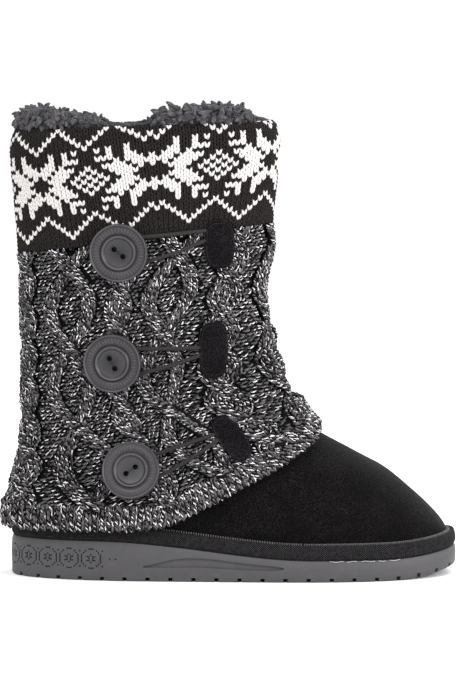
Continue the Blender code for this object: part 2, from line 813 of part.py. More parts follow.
def smooth_route(points, spacing):
    """Points along a smooth curve through the route's own points, about a spacing apart."""
    run = []
    steps = 24
    for i in range(len(points) - 1):
        before, a, b, after = (points[min(max(n, 0), len(points) - 1)] for n in range(i - 1, i + 3))
        for k in range(steps):
            t = k / steps
            bend = (2 * before - 5 * a + 4 * b - after) * t**2 + (3 * a - before - 3 * b + after) * t**3
            run.append(0.5 * (2 * a + (b - before) * t + bend))
    run.append(points[-1])
    length = sum((b - a).length for a, b in zip(run, run[1:]))
    count = round(length / spacing)
    kept, walked = [run[0]], 0.0
    for a, b in zip(run, run[1:]):
        walked += (b - a).length
        if walked >= len(kept) * length / count and len(kept) < count:
            kept.append(b)
    return kept + [run[-1]]


def tab_place(x, z, lean, across, along):
    """A place on a tab, from its middle, turned with it."""
    turn = math.radians(lean)
    dx = across * math.cos(turn) - along * math.sin(turn)
    dz = across * math.sin(turn) + along * math.cos(turn)
    return Vector((x + dx, z + dz))


def strand_end(x, z, width, length, lean, share):
    """Where a strand of the loop stops, just short of the tab's back edge."""
    edge = width / 2 * (1 - abs(2 * share) ** TAB_SQUARENESS) ** (1 / TAB_SQUARENESS)
    return tab_place(x, z, lean, -edge - 2 * GAP, share * length)


def build_loop(skin, name, x, z, upper_end, lower_end):
    """Elastic cord from the tab, round behind the button's boss and back to the tab."""
    middle = Vector((x, z))
    side = SHANK_RADIUS + 4 * GAP + LOOP_DIAMETER / 2
    upper, lower = Vector((0.45 * side, LOOP_HALF)), Vector((0.45 * side, -LOOP_HALF))
    sag = Vector((0, -LOOP_SAG))
    route = [
        upper_end,
        (middle + upper).lerp(upper_end, 0.5),
        middle + upper,
        middle + Vector((-0.55 * side, 0.80 * LOOP_HALF)),
        middle + Vector((-side, 0.0)),
        middle + Vector((-0.55 * side, -0.80 * LOOP_HALF)),
        middle + lower,
        (middle + lower).lerp(lower_end, 0.5) + sag,
        lower_end,
    ]
    line = bpy.data.curves.new(name, "CURVE")
    line.dimensions = "3D"
    line.bevel_depth = LOOP_DIAMETER / 2
    line.bevel_resolution = 2
    line.use_fill_caps = True
    height = LOOP_DIAMETER / 2 + 1.5 * GAP
    places = [over_skin(skin, point.x, point.y, height) for point in smooth_route(route, 2.1 * LOOP_DIAMETER)]
    spline = line.splines.new("POLY")
    spline.points.add(len(places) - 1)
    for point, place in zip(spline.points, places):
        point.co = (*place, 1.0)
    line.materials.append(material("elastic"))
    loop = bpy.data.objects.new(name, line)
    bpy.context.scene.collection.objects.link(loop)
    return loop


def build_tab(skin, name, x, z, width, length, lean):
    """Suede patch that follows the knit and holds the loop's ends."""
    around = 20
    power = 2 / TAB_SQUARENESS
    points, faces = [], []
    for height in (2 * GAP, 2 * GAP + TAB_THICKNESS):
        start = len(points)
        for share in (1.0, 0.55):
            for turn in turns(around):
                c, s = math.cos(turn), math.sin(turn)
                across = share * width / 2 * math.copysign(abs(c) ** power, c)
                along = share * length / 2 * math.copysign(abs(s) ** power, s)
                place = tab_place(x, z, lean, across, along)
                points.append(over_skin(skin, place.x, place.y, height))
        points.append(over_skin(skin, x, z, height))
        hub, inner = len(points) - 1, start + around
        faces += ring_faces(start, inner, around)
        faces += [(inner + k, inner + (k + 1) % around, hub) for k in range(around)]
    faces += ring_faces(0, 2 * around + 1, around)
    return add_object(name, points, faces, "suede")


def build_closures(skin):
    """Three rows of button, elastic loop and tab on the outer side."""
    for values in CLOSURES:
        row = Closure(*values)
        x, z = row.button_x * SOLE_LENGTH, row.button_z * SEAM_HEIGHT
        size = (row.width * TAB_WIDTH, row.length * TAB_LENGTH)
        tab = (row.tab_x * SOLE_LENGTH, row.tab_z * SEAM_HEIGHT, *size, row.lean)
        build_button(skin, f"button_{row.name}", x, z, row.turn)
        build_loop(skin, f"loop_{row.name}", x, z, strand_end(*tab, row.upper), strand_end(*tab, row.lower))
        build_tab(skin, f"tab_{row.name}", *tab)


def centre_on_floor():
    """Moves everything so that the origin is at the bottom centre of the boot's box."""
    bpy.context.view_layer.update()
    shown = [made for made in bpy.context.scene.objects if not made.hide_render]
    corners = [made.matrix_world @ Vector(corner) for made in shown for corner in made.bound_box]
    low = Vector([min(corner[axis] for corner in corners) for axis in range(3)])
    high = Vector([max(corner[axis] for corner in corners) for axis in range(3)])
    shift = Vector(((low.x + high.x) / 2, (low.y + high.y) / 2, low.z))
    for made in bpy.context.scene.objects:
        made.location -= shift


def main():
    for old in list(bpy.data.objects):
        bpy.data.objects.remove(old, do_unlink=True)
    build_outsole()
    build_midsole()
    build_insole()
    build_upper()
    shaft_outer, shaft_inner = shaft_rings()
    cuff_outer, cuff_inner = cuff_rings()
    tube_shell("knit_shaft", shaft_outer + shaft_inner[::-1], "cable_knit")
    tube_shell("knit_cuff", cuff_outer + cuff_inner[::-1], "pattern_knit")
    build_collar_lining()
    build_closures(knit_skin(cuff_outer + shaft_outer))
    centre_on_floor()


main()
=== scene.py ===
"""Looks of the knit-covered winter boot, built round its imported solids. Blender 4.5, metres.

It is a right boot: the toe points along +X, the outer side of the foot faces -Y and +Z is up.
Shapes are worked out in the solids' modelling frame, with X = 0 at the back of the sole and Z = 0 on
the ground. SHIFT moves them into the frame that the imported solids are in.
"""

import json
import math
from itertools import product

import bmesh
import bpy
import numpy as np
from mathutils import Matrix, Vector
from mathutils.bvhtree import BVHTree

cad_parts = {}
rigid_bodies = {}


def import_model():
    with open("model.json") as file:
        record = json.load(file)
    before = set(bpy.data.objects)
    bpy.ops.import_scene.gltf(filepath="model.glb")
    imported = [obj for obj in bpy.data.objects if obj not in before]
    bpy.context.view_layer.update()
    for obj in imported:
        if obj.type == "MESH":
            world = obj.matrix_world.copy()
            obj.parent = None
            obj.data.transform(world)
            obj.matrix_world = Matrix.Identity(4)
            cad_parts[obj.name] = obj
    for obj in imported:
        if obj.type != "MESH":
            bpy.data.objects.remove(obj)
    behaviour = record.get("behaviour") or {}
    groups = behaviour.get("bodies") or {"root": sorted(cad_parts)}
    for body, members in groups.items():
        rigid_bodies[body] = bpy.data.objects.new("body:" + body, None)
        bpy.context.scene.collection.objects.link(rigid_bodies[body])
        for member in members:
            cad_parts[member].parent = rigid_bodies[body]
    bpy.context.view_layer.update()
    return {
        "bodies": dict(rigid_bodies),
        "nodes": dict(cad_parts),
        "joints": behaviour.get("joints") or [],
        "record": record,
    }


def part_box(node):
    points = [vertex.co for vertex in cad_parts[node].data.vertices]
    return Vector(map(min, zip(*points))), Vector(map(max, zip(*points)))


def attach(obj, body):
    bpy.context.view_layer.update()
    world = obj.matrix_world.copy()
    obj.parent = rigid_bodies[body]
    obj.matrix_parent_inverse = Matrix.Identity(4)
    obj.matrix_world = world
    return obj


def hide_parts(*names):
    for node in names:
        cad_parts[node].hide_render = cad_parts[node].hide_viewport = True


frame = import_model()

SEED = 7

# Sole and last, as the solids have them
SOLE_LENGTH = 0.267
SOLE_WIDTH = 0.100
SOLE_WIDEST = 0.655
RUBBER_AT_HEEL = 0.023
RUBBER_AT_BALL = 0.0122
TOE_SPRING = 0.006
TOE_SPRING_LENGTH = 0.045
TOE_TOP_LIFT = 0.8
MIDSOLE_THICKNESS = 0.008
FEATHER_INSET = 0.005
WAIST_INNER = 0.006
WAIST_OUTER = 0.0025
INFLARE = 0.004
GROUND_BEVEL = 0.0012
LUG_PITCH = 0.0133
LUG_LENGTH = 0.016
GROOVE_WIDTH = 0.0025
GROOVE_DEPTH = 0.0024
CROSS_PITCH = 0.0266
CROSS_MARGIN = 1.7
CROSS_INSET = 1.35
RECESS_START = 0.080
RECESS_LENGTH = 0.083
RECESS_DEPTH = 0.0012

# Upper, knit and lining, as the solids have them
COLLAR_HEIGHT = 0.268
COLLAR_TILT = 0.0025
UPPER_WALL = 0.0025
KNIT_WALL = 0.004
KNIT_EASE = 0.0010
CUFF_EASE = 0.0022
SEAM_HEIGHT = 0.2025
SEAM_TILT = 0.0092
HEM_RISE_START = 0.088
HEM_EASE = 0.012
HEM_SLOPE = 0.45
HEM_BEND = 0.19
HEM_FRONT_RISE = 0.0075
HEM_FRONT_SPREAD = 0.5
HEM_DROP = 0.0016
HEM_FLARE = 0.0057
FLARE_BANDS = 3.2
BAND_EDGE = 0.3
HEM_BAND = 0.015
HEM_THICKER = 0.0008
LINING_WALL = 0.006
LINING_DEPTH = 0.045
LINING_RISE = 0.0102
FLEECE_SETBACK = 0.0015
INSOLE_THICKNESS = 0.004
GAP = 0.0003

# Buttons, loops and tabs, as the solids have them
SKIN_STEP = 0.004
BUTTON_RADIUS = 0.0171
BUTTON_THICKNESS = 0.0042
BUTTON_HOLE_RADIUS = 0.0014
BUTTON_HOLE_SPACING = 0.0066
SHANK_RADIUS = 0.0058
SHANK_HEIGHT = 0.0041
LOOP_DIAMETER = 0.0024
LOOP_HALF = 0.0080
LOOP_SAG = 0.0015
TAB_LENGTH = 0.0325
TAB_WIDTH = 0.017
TAB_THICKNESS = 0.003
TAB_SQUARENESS = 3.0

LAST_LENGTH = SOLE_LENGTH - 2 * FEATHER_INSET
LAST_HALF = SOLE_WIDTH / 2 - FEATHER_INSET
FEATHER_BASE = RUBBER_AT_BALL + MIDSOLE_THICKNESS
UPPER_HEIGHT = COLLAR_HEIGHT - FEATHER_BASE
LIFT_FADE = 0.060
OVER_FEATHER = 0.012
NORMAL_STEP = 0.0005
NORMAL_TURN = 0.01
HEM_STEPS = 144
CAD_SOLE_COLUMNS = 56

# Sections of the last from the feather line to the collar: height, back, front, widest, half, nose,
# tail, waist. The lengths are shares of the upper's height and of the last's length and half width.
LAST_SECTIONS = (
    (0.000, 0.0000, 1.0000, 0.660, 1.000, 2.35, 2.50, 1.00),
    (0.024, -0.0015, 0.9920, 0.655, 1.022, 2.30, 2.50, 1.00),
    (0.066, 0.0000, 0.9640, 0.635, 1.025, 2.20, 2.45, 0.85),
    (0.115, 0.0050, 0.9210, 0.595, 0.985, 2.10, 2.40, 0.60),
    (0.176, 0.0130, 0.8500, 0.530, 0.900, 2.05, 2.35, 0.30),
    (0.218, 0.0180, 0.7780, 0.470, 0.845, 2.00, 2.30, 0.10),
    (0.259, 0.0220, 0.7040, 0.420, 0.800, 2.00, 2.30, 0.00),
    (0.306, 0.0245, 0.6300, 0.370, 0.775, 2.00, 2.25, 0.00),
    (0.363, 0.0270, 0.5850, 0.330, 0.770, 2.00, 2.20, 0.00),
    (0.435, 0.0270, 0.5620, 0.310, 0.785, 2.00, 2.20, 0.00),
    (0.565, 0.0255, 0.5550, 0.295, 0.820, 2.10, 2.20, 0.00),
    (0.726, 0.0205, 0.5635, 0.295, 0.840, 2.20, 2.20, 0.00),
    (0.887, 0.0135, 0.5740, 0.295, 0.845, 2.20, 2.20, 0.00),
    (1.000, 0.0105, 0.5760, 0.295, 0.850, 2.20, 2.20, 0.00),
)

# Slouch folds of the knit: height, spread, bulge, hug.
KNIT_FOLDS = (
    (0.500, 0.032, 0.85, 2.0),
    (0.415, 0.056, 2.20, 2.0),
    (0.316, 0.034, 1.50, 3.0),
    (0.680, 0.060, 0.22, 1.0),
)

# Creases and ridges of wear over the instep: height, fall towards the sides, spread, depth, reach.
# The heights and depths are metres, the reach is an angle.
KNIT_CREASES = (
    (0.1022, 0.009, 0.0038, -0.0056, 1.00),
    (0.0935, 0.009, 0.0060, 0.0010, 0.90),
    (0.1505, -0.004, 0.0040, -0.0052, 0.60),
    (0.1385, 0.000, 0.0050, 0.0012, 0.70),
)

# Closures from the top down: name, button x and z, tab x and z, tab width and length, lean, upper and
# lower strand, turn. Lengths are shares of the sole, the seam's height and the tab; angles are degrees.
CLOSURES = (
    ("top", 0.2490, 0.962, 0.4650, 0.985, 1.00, 0.87, 0.0, 0.290, 0.090, -39.0),
    ("middle", 0.2360, 0.641, 0.4525, 0.676, 0.97, 1.00, 0.0, 0.055, -0.090, -62.0),
    ("bottom", 0.2765, 0.318, 0.4935, 0.4195, 0.82, 0.96, 38.0, 0.230, 0.115, 35.0),
)

# The blade-shaped recess in the side of the rubber: along, middle, half.
RECESS_PROFILE = (
    (0.00, 0.720, 0.030),
    (0.08, 0.790, 0.090),
    (0.20, 0.890, 0.190),
    (0.35, 0.940, 0.225),
    (0.52, 0.890, 0.205),
    (0.70, 0.780, 0.165),
    (0.86, 0.710, 0.125),
    (0.96, 0.690, 0.085),
    (1.00, 0.685, 0.025),
)

# Side and rim of the platform plate: place along its profile, height, inset, rise.
RIM_PROFILE = (
    (0.0, 0.03, 0.20, 0.00),
    (1.0, 0.30, -0.02, 0.00),
    (2.0, 0.75, 0.00, 0.00),
    (3.0, 1.00, 0.16, 0.20),
    (4.0, 1.00, 0.40, 0.32),
    (5.0, 1.00, 0.68, 0.16),
    (6.0, 1.00, 0.80, 0.00),
)

# Swells and dips of the fleece round the collar: place, spread, swell.
FLEECE_SWELLS = (
    (0.00, 0.62, -0.80),
    (1.72, 0.20, -0.70),
    (1.90, 0.46, -0.32),
    (2.60, 0.70, 0.08),
)

# The knit. Columns of stitches are counted from the front round the inner side.
STITCH_COLUMNS = 110
STITCH_ROW = 0.0025
CUFF_ROW = 0.00243
YARN = 0.00078
STAR_COLUMN = 84
STAR_ROW = 15
STAR_REPEAT = 20
STAR_PHASE = 0.2
# The cuff's columns are pulled towards the heel on the outer side, and even out again on the inner side
CROWD_START = 63
CROWD_COLUMNS = 11
CROWD_EASED = 50
CROWD_SHIFT = -1.5
# Columns that the pattern gains at its join, in the middle of the star at STAR_COLUMN
JOIN_COLUMNS = 2
# Rows bow up over the middle of the outer side
BOW_RISE = 0.0025
BOW_COLUMN = 88.5
BOW_SPREAD = 9.0

# How far the cuff's columns lean back with each row up, along the columns.
CUFF_LEANS = (
    (0, -0.075),
    (30, 0.050),
    (60, 0.080),
    (81, 0.100),
    (88, 0.044),
    (103, -0.075),
    (STITCH_COLUMNS, -0.075),
)
CABLE_COLUMN = 79.5
LATTICE_REACH = 3.9
LATTICE_ROWS = 18.9
LATTICE_START = 4.9
ROPE_REACH = 1.45
ROPE_ROWS = 8.8
ROPE_START = 3.0
# Stitches of a strand, in columns from its middle
STRAND_STITCHES = (-1.0, 0.0, 1.0)
STRAND_RISE = 0.0021
CROSSING_RISE = 0.0009
PURL_ROW = 0.0021
# How far the purl bumps keep from a strand's middle, in columns
PURL_CLEAR = 1.72
GROUND_DROP = 0.0012
RIB_ROWS = 5
# Depth of the near-black wall behind the stitches, painted shade for the gaps between them
BACK_DROP = 0.0021
CUFF_BACK_DROP = 0.0006

# Half of one star and its diamond: from the star's middle column to the diamond's, and from
# the middle row up. The pattern mirrors about both.
STAR_CHART = (
    "...##..#.#.",
    "..####..#.#",
    ".#.####..#.",
    "###.####..#",
    ".###.#.....",
    "..##..###..",
    "...#..#....",
    "...#..#.#..",
    "#.........#",
    ".#.......#.",
    "..#.....#..",
    "...#...#...",
    "....#.#....",
    ".....#.....",
)


def ease(t):
    """Smooth step from 0 to 1."""
    t = np.clip(t, 0.0, 1.0)
    return t * t * (3 - 2 * t)


def mix(a, b, t):
    return a + (b - a) * t


def signed(angle):
    """The same angle between -pi and pi."""
    return np.remainder(np.asarray(angle) + math.pi, 2 * math.pi) - math.pi


def unit(vectors):
    return vectors / np.linalg.norm(vectors, axis=-1, keepdims=True)


def rows_at(rows, key):
    """Rows of a table at keys in its first column, by a smooth curve through the rows."""
    rows = np.asarray(rows)
    keys = rows[:, 0]
    key = np.clip(np.asarray(key, float), keys[0], keys[-1])
    i = np.clip(np.searchsorted(keys, key, side="right") - 1, 0, len(keys) - 2)
    before, after = np.maximum(i - 1, 0), np.minimum(i + 2, len(keys) - 1)
    span = (keys[i + 1] - keys[i])[..., None]
    t = (key - keys[i])[..., None] / span
    a, b = rows[i], rows[i + 1]
    slope_a = (b - rows[before]) / (keys[i + 1] - keys[before])[..., None] * span
    slope_b = (rows[after] - a) / (keys[after] - keys[i])[..., None] * span
    return (
        (2 * t**3 - 3 * t**2 + 1) * a
        + (t**3 - 2 * t**2 + t) * slope_a
        + (3 * t**2 - 2 * t**3) * b
        + (t**3 - t**2) * slope_b
    )


def ground_height(x):
    over = np.maximum(0.0, x - (SOLE_LENGTH - TOE_SPRING_LENGTH))
    return TOE_SPRING * (over / TOE_SPRING_LENGTH) ** 2


def rubber_top(x):
    drop = ease((x / SOLE_LENGTH - 0.20) / 0.48)
    return mix(RUBBER_AT_HEEL, RUBBER_AT_BALL, drop) + TOE_TOP_LIFT * ground_height(x)


def feather_height(x):
    return rubber_top(x) + MIDSOLE_THICKNESS


def egg(angle, back, front, widest, half, nose, tail):
    """Points of a closed outline. Angle 0 is the front, and positive angles go round the inner side."""
    c, s = np.cos(angle), np.sin(angle)
    power = 2 / np.where(c >= 0, nose, tail)
    reach = np.where(c >= 0, front - widest, widest - back)
    x = widest + np.sign(c) * np.abs(c) ** power * reach
    y = np.sign(s) * np.abs(s) ** power * half
    return x, y


def foot_curve(x, y, angle, waist):
    """Adds the waist's dents and the inward swing of the toes."""
    share = x / SOLE_LENGTH
    dent = waist * np.exp(-(((share - 0.42) / 0.17) ** 2)) * np.abs(np.sin(angle))
    y = y + np.where(y > 0, -WAIST_INNER, WAIST_OUTER) * dent
    return y + INFLARE * np.maximum(0.0, (share - 0.5) / 0.5) ** 2


def sole_outline(angle, inset):
    """Points of the sole's outline on the ground plane, moved in by inset."""
    half = SOLE_WIDTH / 2 - inset
    x, y = egg(angle, inset, SOLE_LENGTH - inset, SOLE_WIDEST * SOLE_LENGTH, half, 2.35, 2.5)
    return x, foot_curve(x, y, angle, 1.0)


def last_point(level, angle):
    """Outer face of the upper. Level is the height above the feather line."""
    level, angle = np.broadcast_arrays(np.asarray(level, float), np.asarray(angle, float))
    row = rows_at(LAST_SECTIONS, level / UPPER_HEIGHT)
    _, back, front, widest, half, nose, tail, waist = np.moveaxis(row, -1, 0)
    back, front, widest = (FEATHER_INSET + share * LAST_LENGTH for share in (back, front, widest))
    x, y = egg(angle, back, front, widest, half * LAST_HALF, nose, tail)
    lift = (feather_height(x) - FEATHER_BASE) * (1 - ease(level / LIFT_FADE))
    return np.stack((x, foot_curve(x, y, angle, waist), FEATHER_BASE + level + lift), axis=-1)


def last_normal(level, angle):
    """Outward normal of the upper. Near the feather line it is kept level."""
    level, angle = np.broadcast_arrays(np.asarray(level, float), np.asarray(angle, float))
    up = last_point(level + NORMAL_STEP, angle) - last_point(level - NORMAL_STEP, angle)
    across = last_point(level, angle + NORMAL_TURN) - last_point(level, angle - NORMAL_TURN)
    normal = unit(np.cross(across, up))
    normal[..., 2] *= ease(level / OVER_FEATHER)
    return unit(normal)


def off_last(level, angle, out):
    """Points at a distance outside the upper's outer face."""
    return last_point(level, angle) + last_normal(level, angle) * np.asarray(out)[..., None]


def collar_level(angle):
    return UPPER_HEIGHT + COLLAR_TILT * np.cos(angle)


def seam_level(angle):
    return SEAM_HEIGHT - FEATHER_BASE + SEAM_TILT * np.cos(angle)


def hem_rise(x, angle):
    """Rise of the knit's lower edge above its height at the heel."""
    past = x - HEM_RISE_START
    run = (past + np.hypot(past, HEM_EASE)) / 2
    front = HEM_FRONT_RISE * np.exp(-((signed(angle) / HEM_FRONT_SPREAD) ** 2))
    return HEM_SLOPE * run + HEM_BEND * run**2 / SOLE_LENGTH + front


def hem_table():
    """Level and rise of the knit's lower edge at HEM_STEPS angles, found by halving."""
    angle = signed(2 * math.pi * np.arange(HEM_STEPS) / HEM_STEPS)
    low = np.full(HEM_STEPS, -2 * HEM_DROP)
    high = np.full(HEM_STEPS, 0.45 * UPPER_HEIGHT)
    for _ in range(30):
        middle = (low + high) / 2
        point = last_point(middle, angle)
        under = point[:, 2] < feather_height(0.0) - HEM_DROP + hem_rise(point[:, 0], angle)
        low, high = np.where(under, middle, low), np.where(under, high, middle)
    return low, hem_rise(last_point(low, angle)[:, 0], angle)


HEM_LEVELS, HEM_RISES = hem_table()


def hem_at(angle):
    """Level and rise of the knit's lower edge."""
    place = np.asarray(angle) / (2 * math.pi) * HEM_STEPS
    step = np.floor(place).astype(int)
    a, b = step % HEM_STEPS, (step + 1) % HEM_STEPS
    return mix(HEM_LEVELS[a], HEM_LEVELS[b], place - step), mix(HEM_RISES[a], HEM_RISES[b], place - step)


def knit_slack(level, angle):
    """How far the inside of the knit stands off the upper, beyond the gap."""
    hem, rise = hem_at(angle)
    slack = KNIT_EASE * ease((level - hem) / HEM_BAND + 0.5)
    front = (1 + np.cos(angle)) / 2
    for height, spread, bulge, hug in KNIT_FOLDS:
        near = np.exp(-(((level / UPPER_HEIGHT - height) / spread) ** 2))
        slack = slack + bulge * KNIT_WALL * near * front**hug
    seam = seam_level(angle)
    slack = slack + CUFF_EASE * ease((level - seam) / (collar_level(angle) - seam))
    over_sole = 1 - ease(rise / (HEM_FLARE + MIDSOLE_THICKNESS))
    return slack + HEM_FLARE * over_sole * (1 - ease((level + HEM_DROP) / (FLARE_BANDS * HEM_BAND)))


def worn_slack(level, angle):
    """The knit's slack with the sharp creases of wear over the instep."""
    height, turned = last_point(level, angle)[..., 2], np.abs(signed(angle))
    slack = knit_slack(level, angle)
    for place, fall, spread_height, depth, reach in KNIT_CREASES:
        near = np.exp(-(((height - place + fall * turned) / spread_height) ** 2))
        slack = slack + depth * near * np.exp(-((turned / reach) ** 2))
    return np.maximum(slack, GAP)


def knit_out(level, angle):
    """Distance of the knit's outer face from the upper."""
    hem = hem_at(angle)[0]
    band = HEM_THICKER * (1 - ease((level - hem - HEM_BAND) / (BAND_EDGE * HEM_BAND)))
    return GAP + worn_slack(level, angle) + KNIT_WALL + band


def even_angles(curve, count):
    """Angles that cut each half of a closed curve into equal lengths, from the front round the inner side."""
    halves = []
    for side in (1, -1):
        turns = side * np.linspace(0.0, math.pi, 181)
        steps = np.linalg.norm(np.diff(curve(turns), axis=0), axis=1)
        run = np.concatenate(([0.0], np.cumsum(steps)))
        halves.append(np.interp(np.linspace(0.0, run[-1], count // 2 + 1), run, turns))
    inner, outer = halves
    return np.concatenate((inner[:-1], outer[:0:-1] + 2 * math.pi))


def seam_angles(count):
    """Angles that cut the cuff's seam into equal lengths."""
    return even_angles(lambda a: last_point(seam_level(a), a), count)


def turns(count):
    return 2 * math.pi * np.arange(count) / count


# Meshes


def new_object(name, points, faces, finish):
    """A smooth mesh object from an array of points and an array of faces with equally many corners."""
    points, faces = np.asarray(points, float).reshape(-1, 3), np.asarray(faces, int)
    mesh = bpy.data.meshes.new(name)
    mesh.vertices.add(len(points))
    mesh.vertices.foreach_set("co", points.ravel())
    mesh.loops.add(faces.size)
    mesh.loops.foreach_set("vertex_index", faces.ravel())
    mesh.polygons.add(len(faces))
    mesh.polygons.foreach_set("loop_start", np.arange(0, faces.size, faces.shape[1]))
    mesh.update(calc_edges=True)
    mesh.validate()
    mesh.shade_smooth()
    mesh.materials.append(finish)
    made = bpy.data.objects.new(name, mesh)
    bpy.context.scene.collection.objects.link(made)
    return made


def grid_faces(rows, columns, close_rows=False):
    """Quads of a grid whose columns close into rings, and whose last row may join the first."""
    row = np.arange(rows if close_rows else rows - 1)[:, None]
    column = np.arange(columns)[None, :]
    after, beside = (row + 1) % rows, (column + 1) % columns
    here, ahead = row * columns, after * columns
    corners = (here + column, here + beside, ahead + beside, ahead + column)
    return np.stack(np.broadcast_arrays(*corners), axis=-1).reshape(-1, 4)


def outward(made):
    """Turns all faces of a closed mesh to point out."""
    shape = bmesh.new()
    shape.from_mesh(made.data)
    bmesh.ops.recalc_face_normals(shape, faces=shape.faces)
    shape.to_mesh(made.data)
    shape.free()
    return made


def tube_shell(name, rings, finish):
    """A hollow wall: closed rings that go up the outside and down the inside, joined end to end."""
    rings = np.asarray(rings)
    return outward(new_object(name, rings + SHIFT, grid_faces(*rings.shape[:2], True), finish))


def plate(name, rings, finish):
    """A solid plate from closed rings, bottom to top, with both ends filled."""
    rings = np.asarray(rings)
    made = new_object(name, rings + SHIFT, grid_faces(rings.shape[0], rings.shape[1]), finish)
    shape = bmesh.new()
    shape.from_mesh(made.data)
    shape.verts.ensure_lookup_table()
    count = rings.shape[1]
    for start in (0, len(shape.verts) - count):
        shape.faces.new([shape.verts[start + k] for k in range(count)])
    bmesh.ops.recalc_face_normals(shape, faces=shape.faces)
    for face in shape.faces:
        face.smooth = True
    shape.to_mesh(made.data)
    shape.free()
    return made


def sharpen(made, degrees):
    """Keeps edges sharper than an angle sharp under smooth shading."""
    made.data.set_sharp_from_angle(angle=math.radians(degrees))
    return made


def ringed(lines, guide, wide, deep, turn):
    """Rings of points round each station of some lines, and the way the lines run there. Guide is roughly
    the way up. Wide and deep are the half width and the half thickness at each station."""
    along = unit(np.gradient(lines, axis=1))
    aside = unit(np.cross(guide, along))
    up = np.cross(along, aside)
    across = aside[:, :, None] * (wide[..., None] * np.cos(turn))[..., None]
    rise = up[:, :, None] * (deep[..., None] * np.sin(turn))[..., None]
    return lines[:, :, None] + across + rise, along


def tubes(rings, first, last):
    """Points and triangles of closed tubes, from the rings of each and the points at its two ends."""
    count, stations, sides = rings.shape[:3]
    points = np.concatenate((rings.reshape(count, -1, 3), first[:, None], last[:, None]), axis=1)
    tip = stations * sides
    end = tip - sides
    faces = []
    for a in range(end):
        b = a - a % sides + (a % sides + 1) % sides
        faces += [(a, b, b + sides), (a, b + sides, a + sides)]
    for k in range(sides):
        following = (k + 1) % sides
        faces += [(following, k, tip), (end + k, end + following, tip + 1)]
    faces = np.asarray(faces)[None] + (np.arange(count) * points.shape[1])[:, None, None]
    return points.reshape(-1, 3) + SHIFT, faces.reshape(-1, 3)


def capsules(lines, radius, sides=6):
    """Round threads along short lines of points, closed with a tip beyond each end."""
    full = np.full((1, lines.shape[1]), radius)
    rings, along = ringed(lines, THREAD_GUIDE, full, full, turns(sides))
    return tubes(rings, lines[:, 0] - along[:, 0] * radius, lines[:, -1] + along[:, -1] * radius)


def set_attribute(made, name, values):
    """Stores a number or a vector at each point of a mesh."""
    kind, key = ("FLOAT_VECTOR", "vector") if values.ndim == 2 else ("FLOAT", "value")
    made.data.attributes.new(name, kind, "POINT").data.foreach_set(key, values.ravel())


def mark_plies(made, turn, shares, chances):
    """Stores where each point lies round and along its length of yarn, and a chance for each length."""
    around = np.tile(np.stack((np.cos(turn), np.sin(turn)), axis=1), (len(shares), 1))
    around = np.concatenate((around, np.zeros((2, 2))))
    along = np.concatenate((np.repeat(shares, len(turn)), (0.0, 1.0)))
    ply = np.concatenate((around, along[:, None]), axis=1)
    set_attribute(made, "ply", np.tile(ply, (len(chances), 1)))
    set_attribute(made, "chance", np.repeat(chances, len(ply)))


class Skin:
    """A dense grid over one knit face, on which stitches are placed by column and distance."""

    def __init__(self, points, step):
        self.points = points
        self.step = step
        across = np.roll(points, -1, axis=0) - np.roll(points, 1, axis=0)
        along = np.gradient(points, axis=1)
        normals = unit(np.cross(across, along))
        centre = points.mean(axis=0, keepdims=True)
        outside = np.sign(np.sum(normals * (points - centre), axis=-1).mean())
        self.normals = unit(normals * outside)

    def sample(self, grid, column, distance):
        """The grid's value between its own places."""
        count, reach = grid.shape[:2]
        u = column / STITCH_COLUMNS * count
        v = np.clip(distance / self.step, 0, reach - 1.001)
        i, j = np.floor(u).astype(int), np.floor(v).astype(int)
        fu, fv = (u - i)[..., None], (v - j)[..., None]
        a, b = i % count, (i + 1) % count
        near = mix(grid[a, j], grid[b, j], fu)
        far = mix(grid[a, j + 1], grid[b, j + 1], fu)
        return mix(near, far, fv)

    def normal(self, column, distance):
        return unit(self.sample(self.normals, column, distance))

    def place(self, column, distance, lift):
        spot = self.sample(self.points, column, distance)
        return spot + self.normal(column, distance) * np.asarray(lift)[..., None]


SKIN_COLUMNS = 2 * STITCH_COLUMNS
SKIN_PITCH = 0.001
CUFF_REACH = 0.080
RIM_ROLL = 0.85
RIM_ROLL_HEIGHT = 0.013


def cuff_face(level, angle, drop):
    """The cuff's outer face, which rounds in at the rim. Past the rim it goes on inwards."""
    collar = collar_level(angle)
    near_rim = np.clip(1 - (collar - level) / RIM_ROLL_HEIGHT, 0.0, 1.0)
    past = np.maximum(0.0, level - collar)
    out = knit_out(np.minimum(level, collar), angle) - RIM_ROLL * KNIT_WALL * near_rim**2 - past
    return off_last(np.minimum(level, collar), angle, out - drop)


def cuff_skin():
    """Skin of the patterned cuff. Distances run up from its seam."""
    angles = signed(seam_angles(SKIN_COLUMNS))[:, None]
    rise = np.arange(0.0, CUFF_REACH, SKIN_PITCH)[None, :]
    return Skin(cuff_face(seam_level(angles) + rise, angles, 0.0), SKIN_PITCH)


def shaft_places(v):
    """Level and angle of each skin column of the cable knit at shares of the way from seam to hem."""
    tops = seam_angles(SKIN_COLUMNS)[:, None]
    feet = even_angles(lambda a: last_point(hem_at(a)[0], a), SKIN_COLUMNS)[:, None]
    level = mix(seam_level(tops), hem_at(signed(feet))[0], v)
    return level, signed(mix(tops, feet, v))


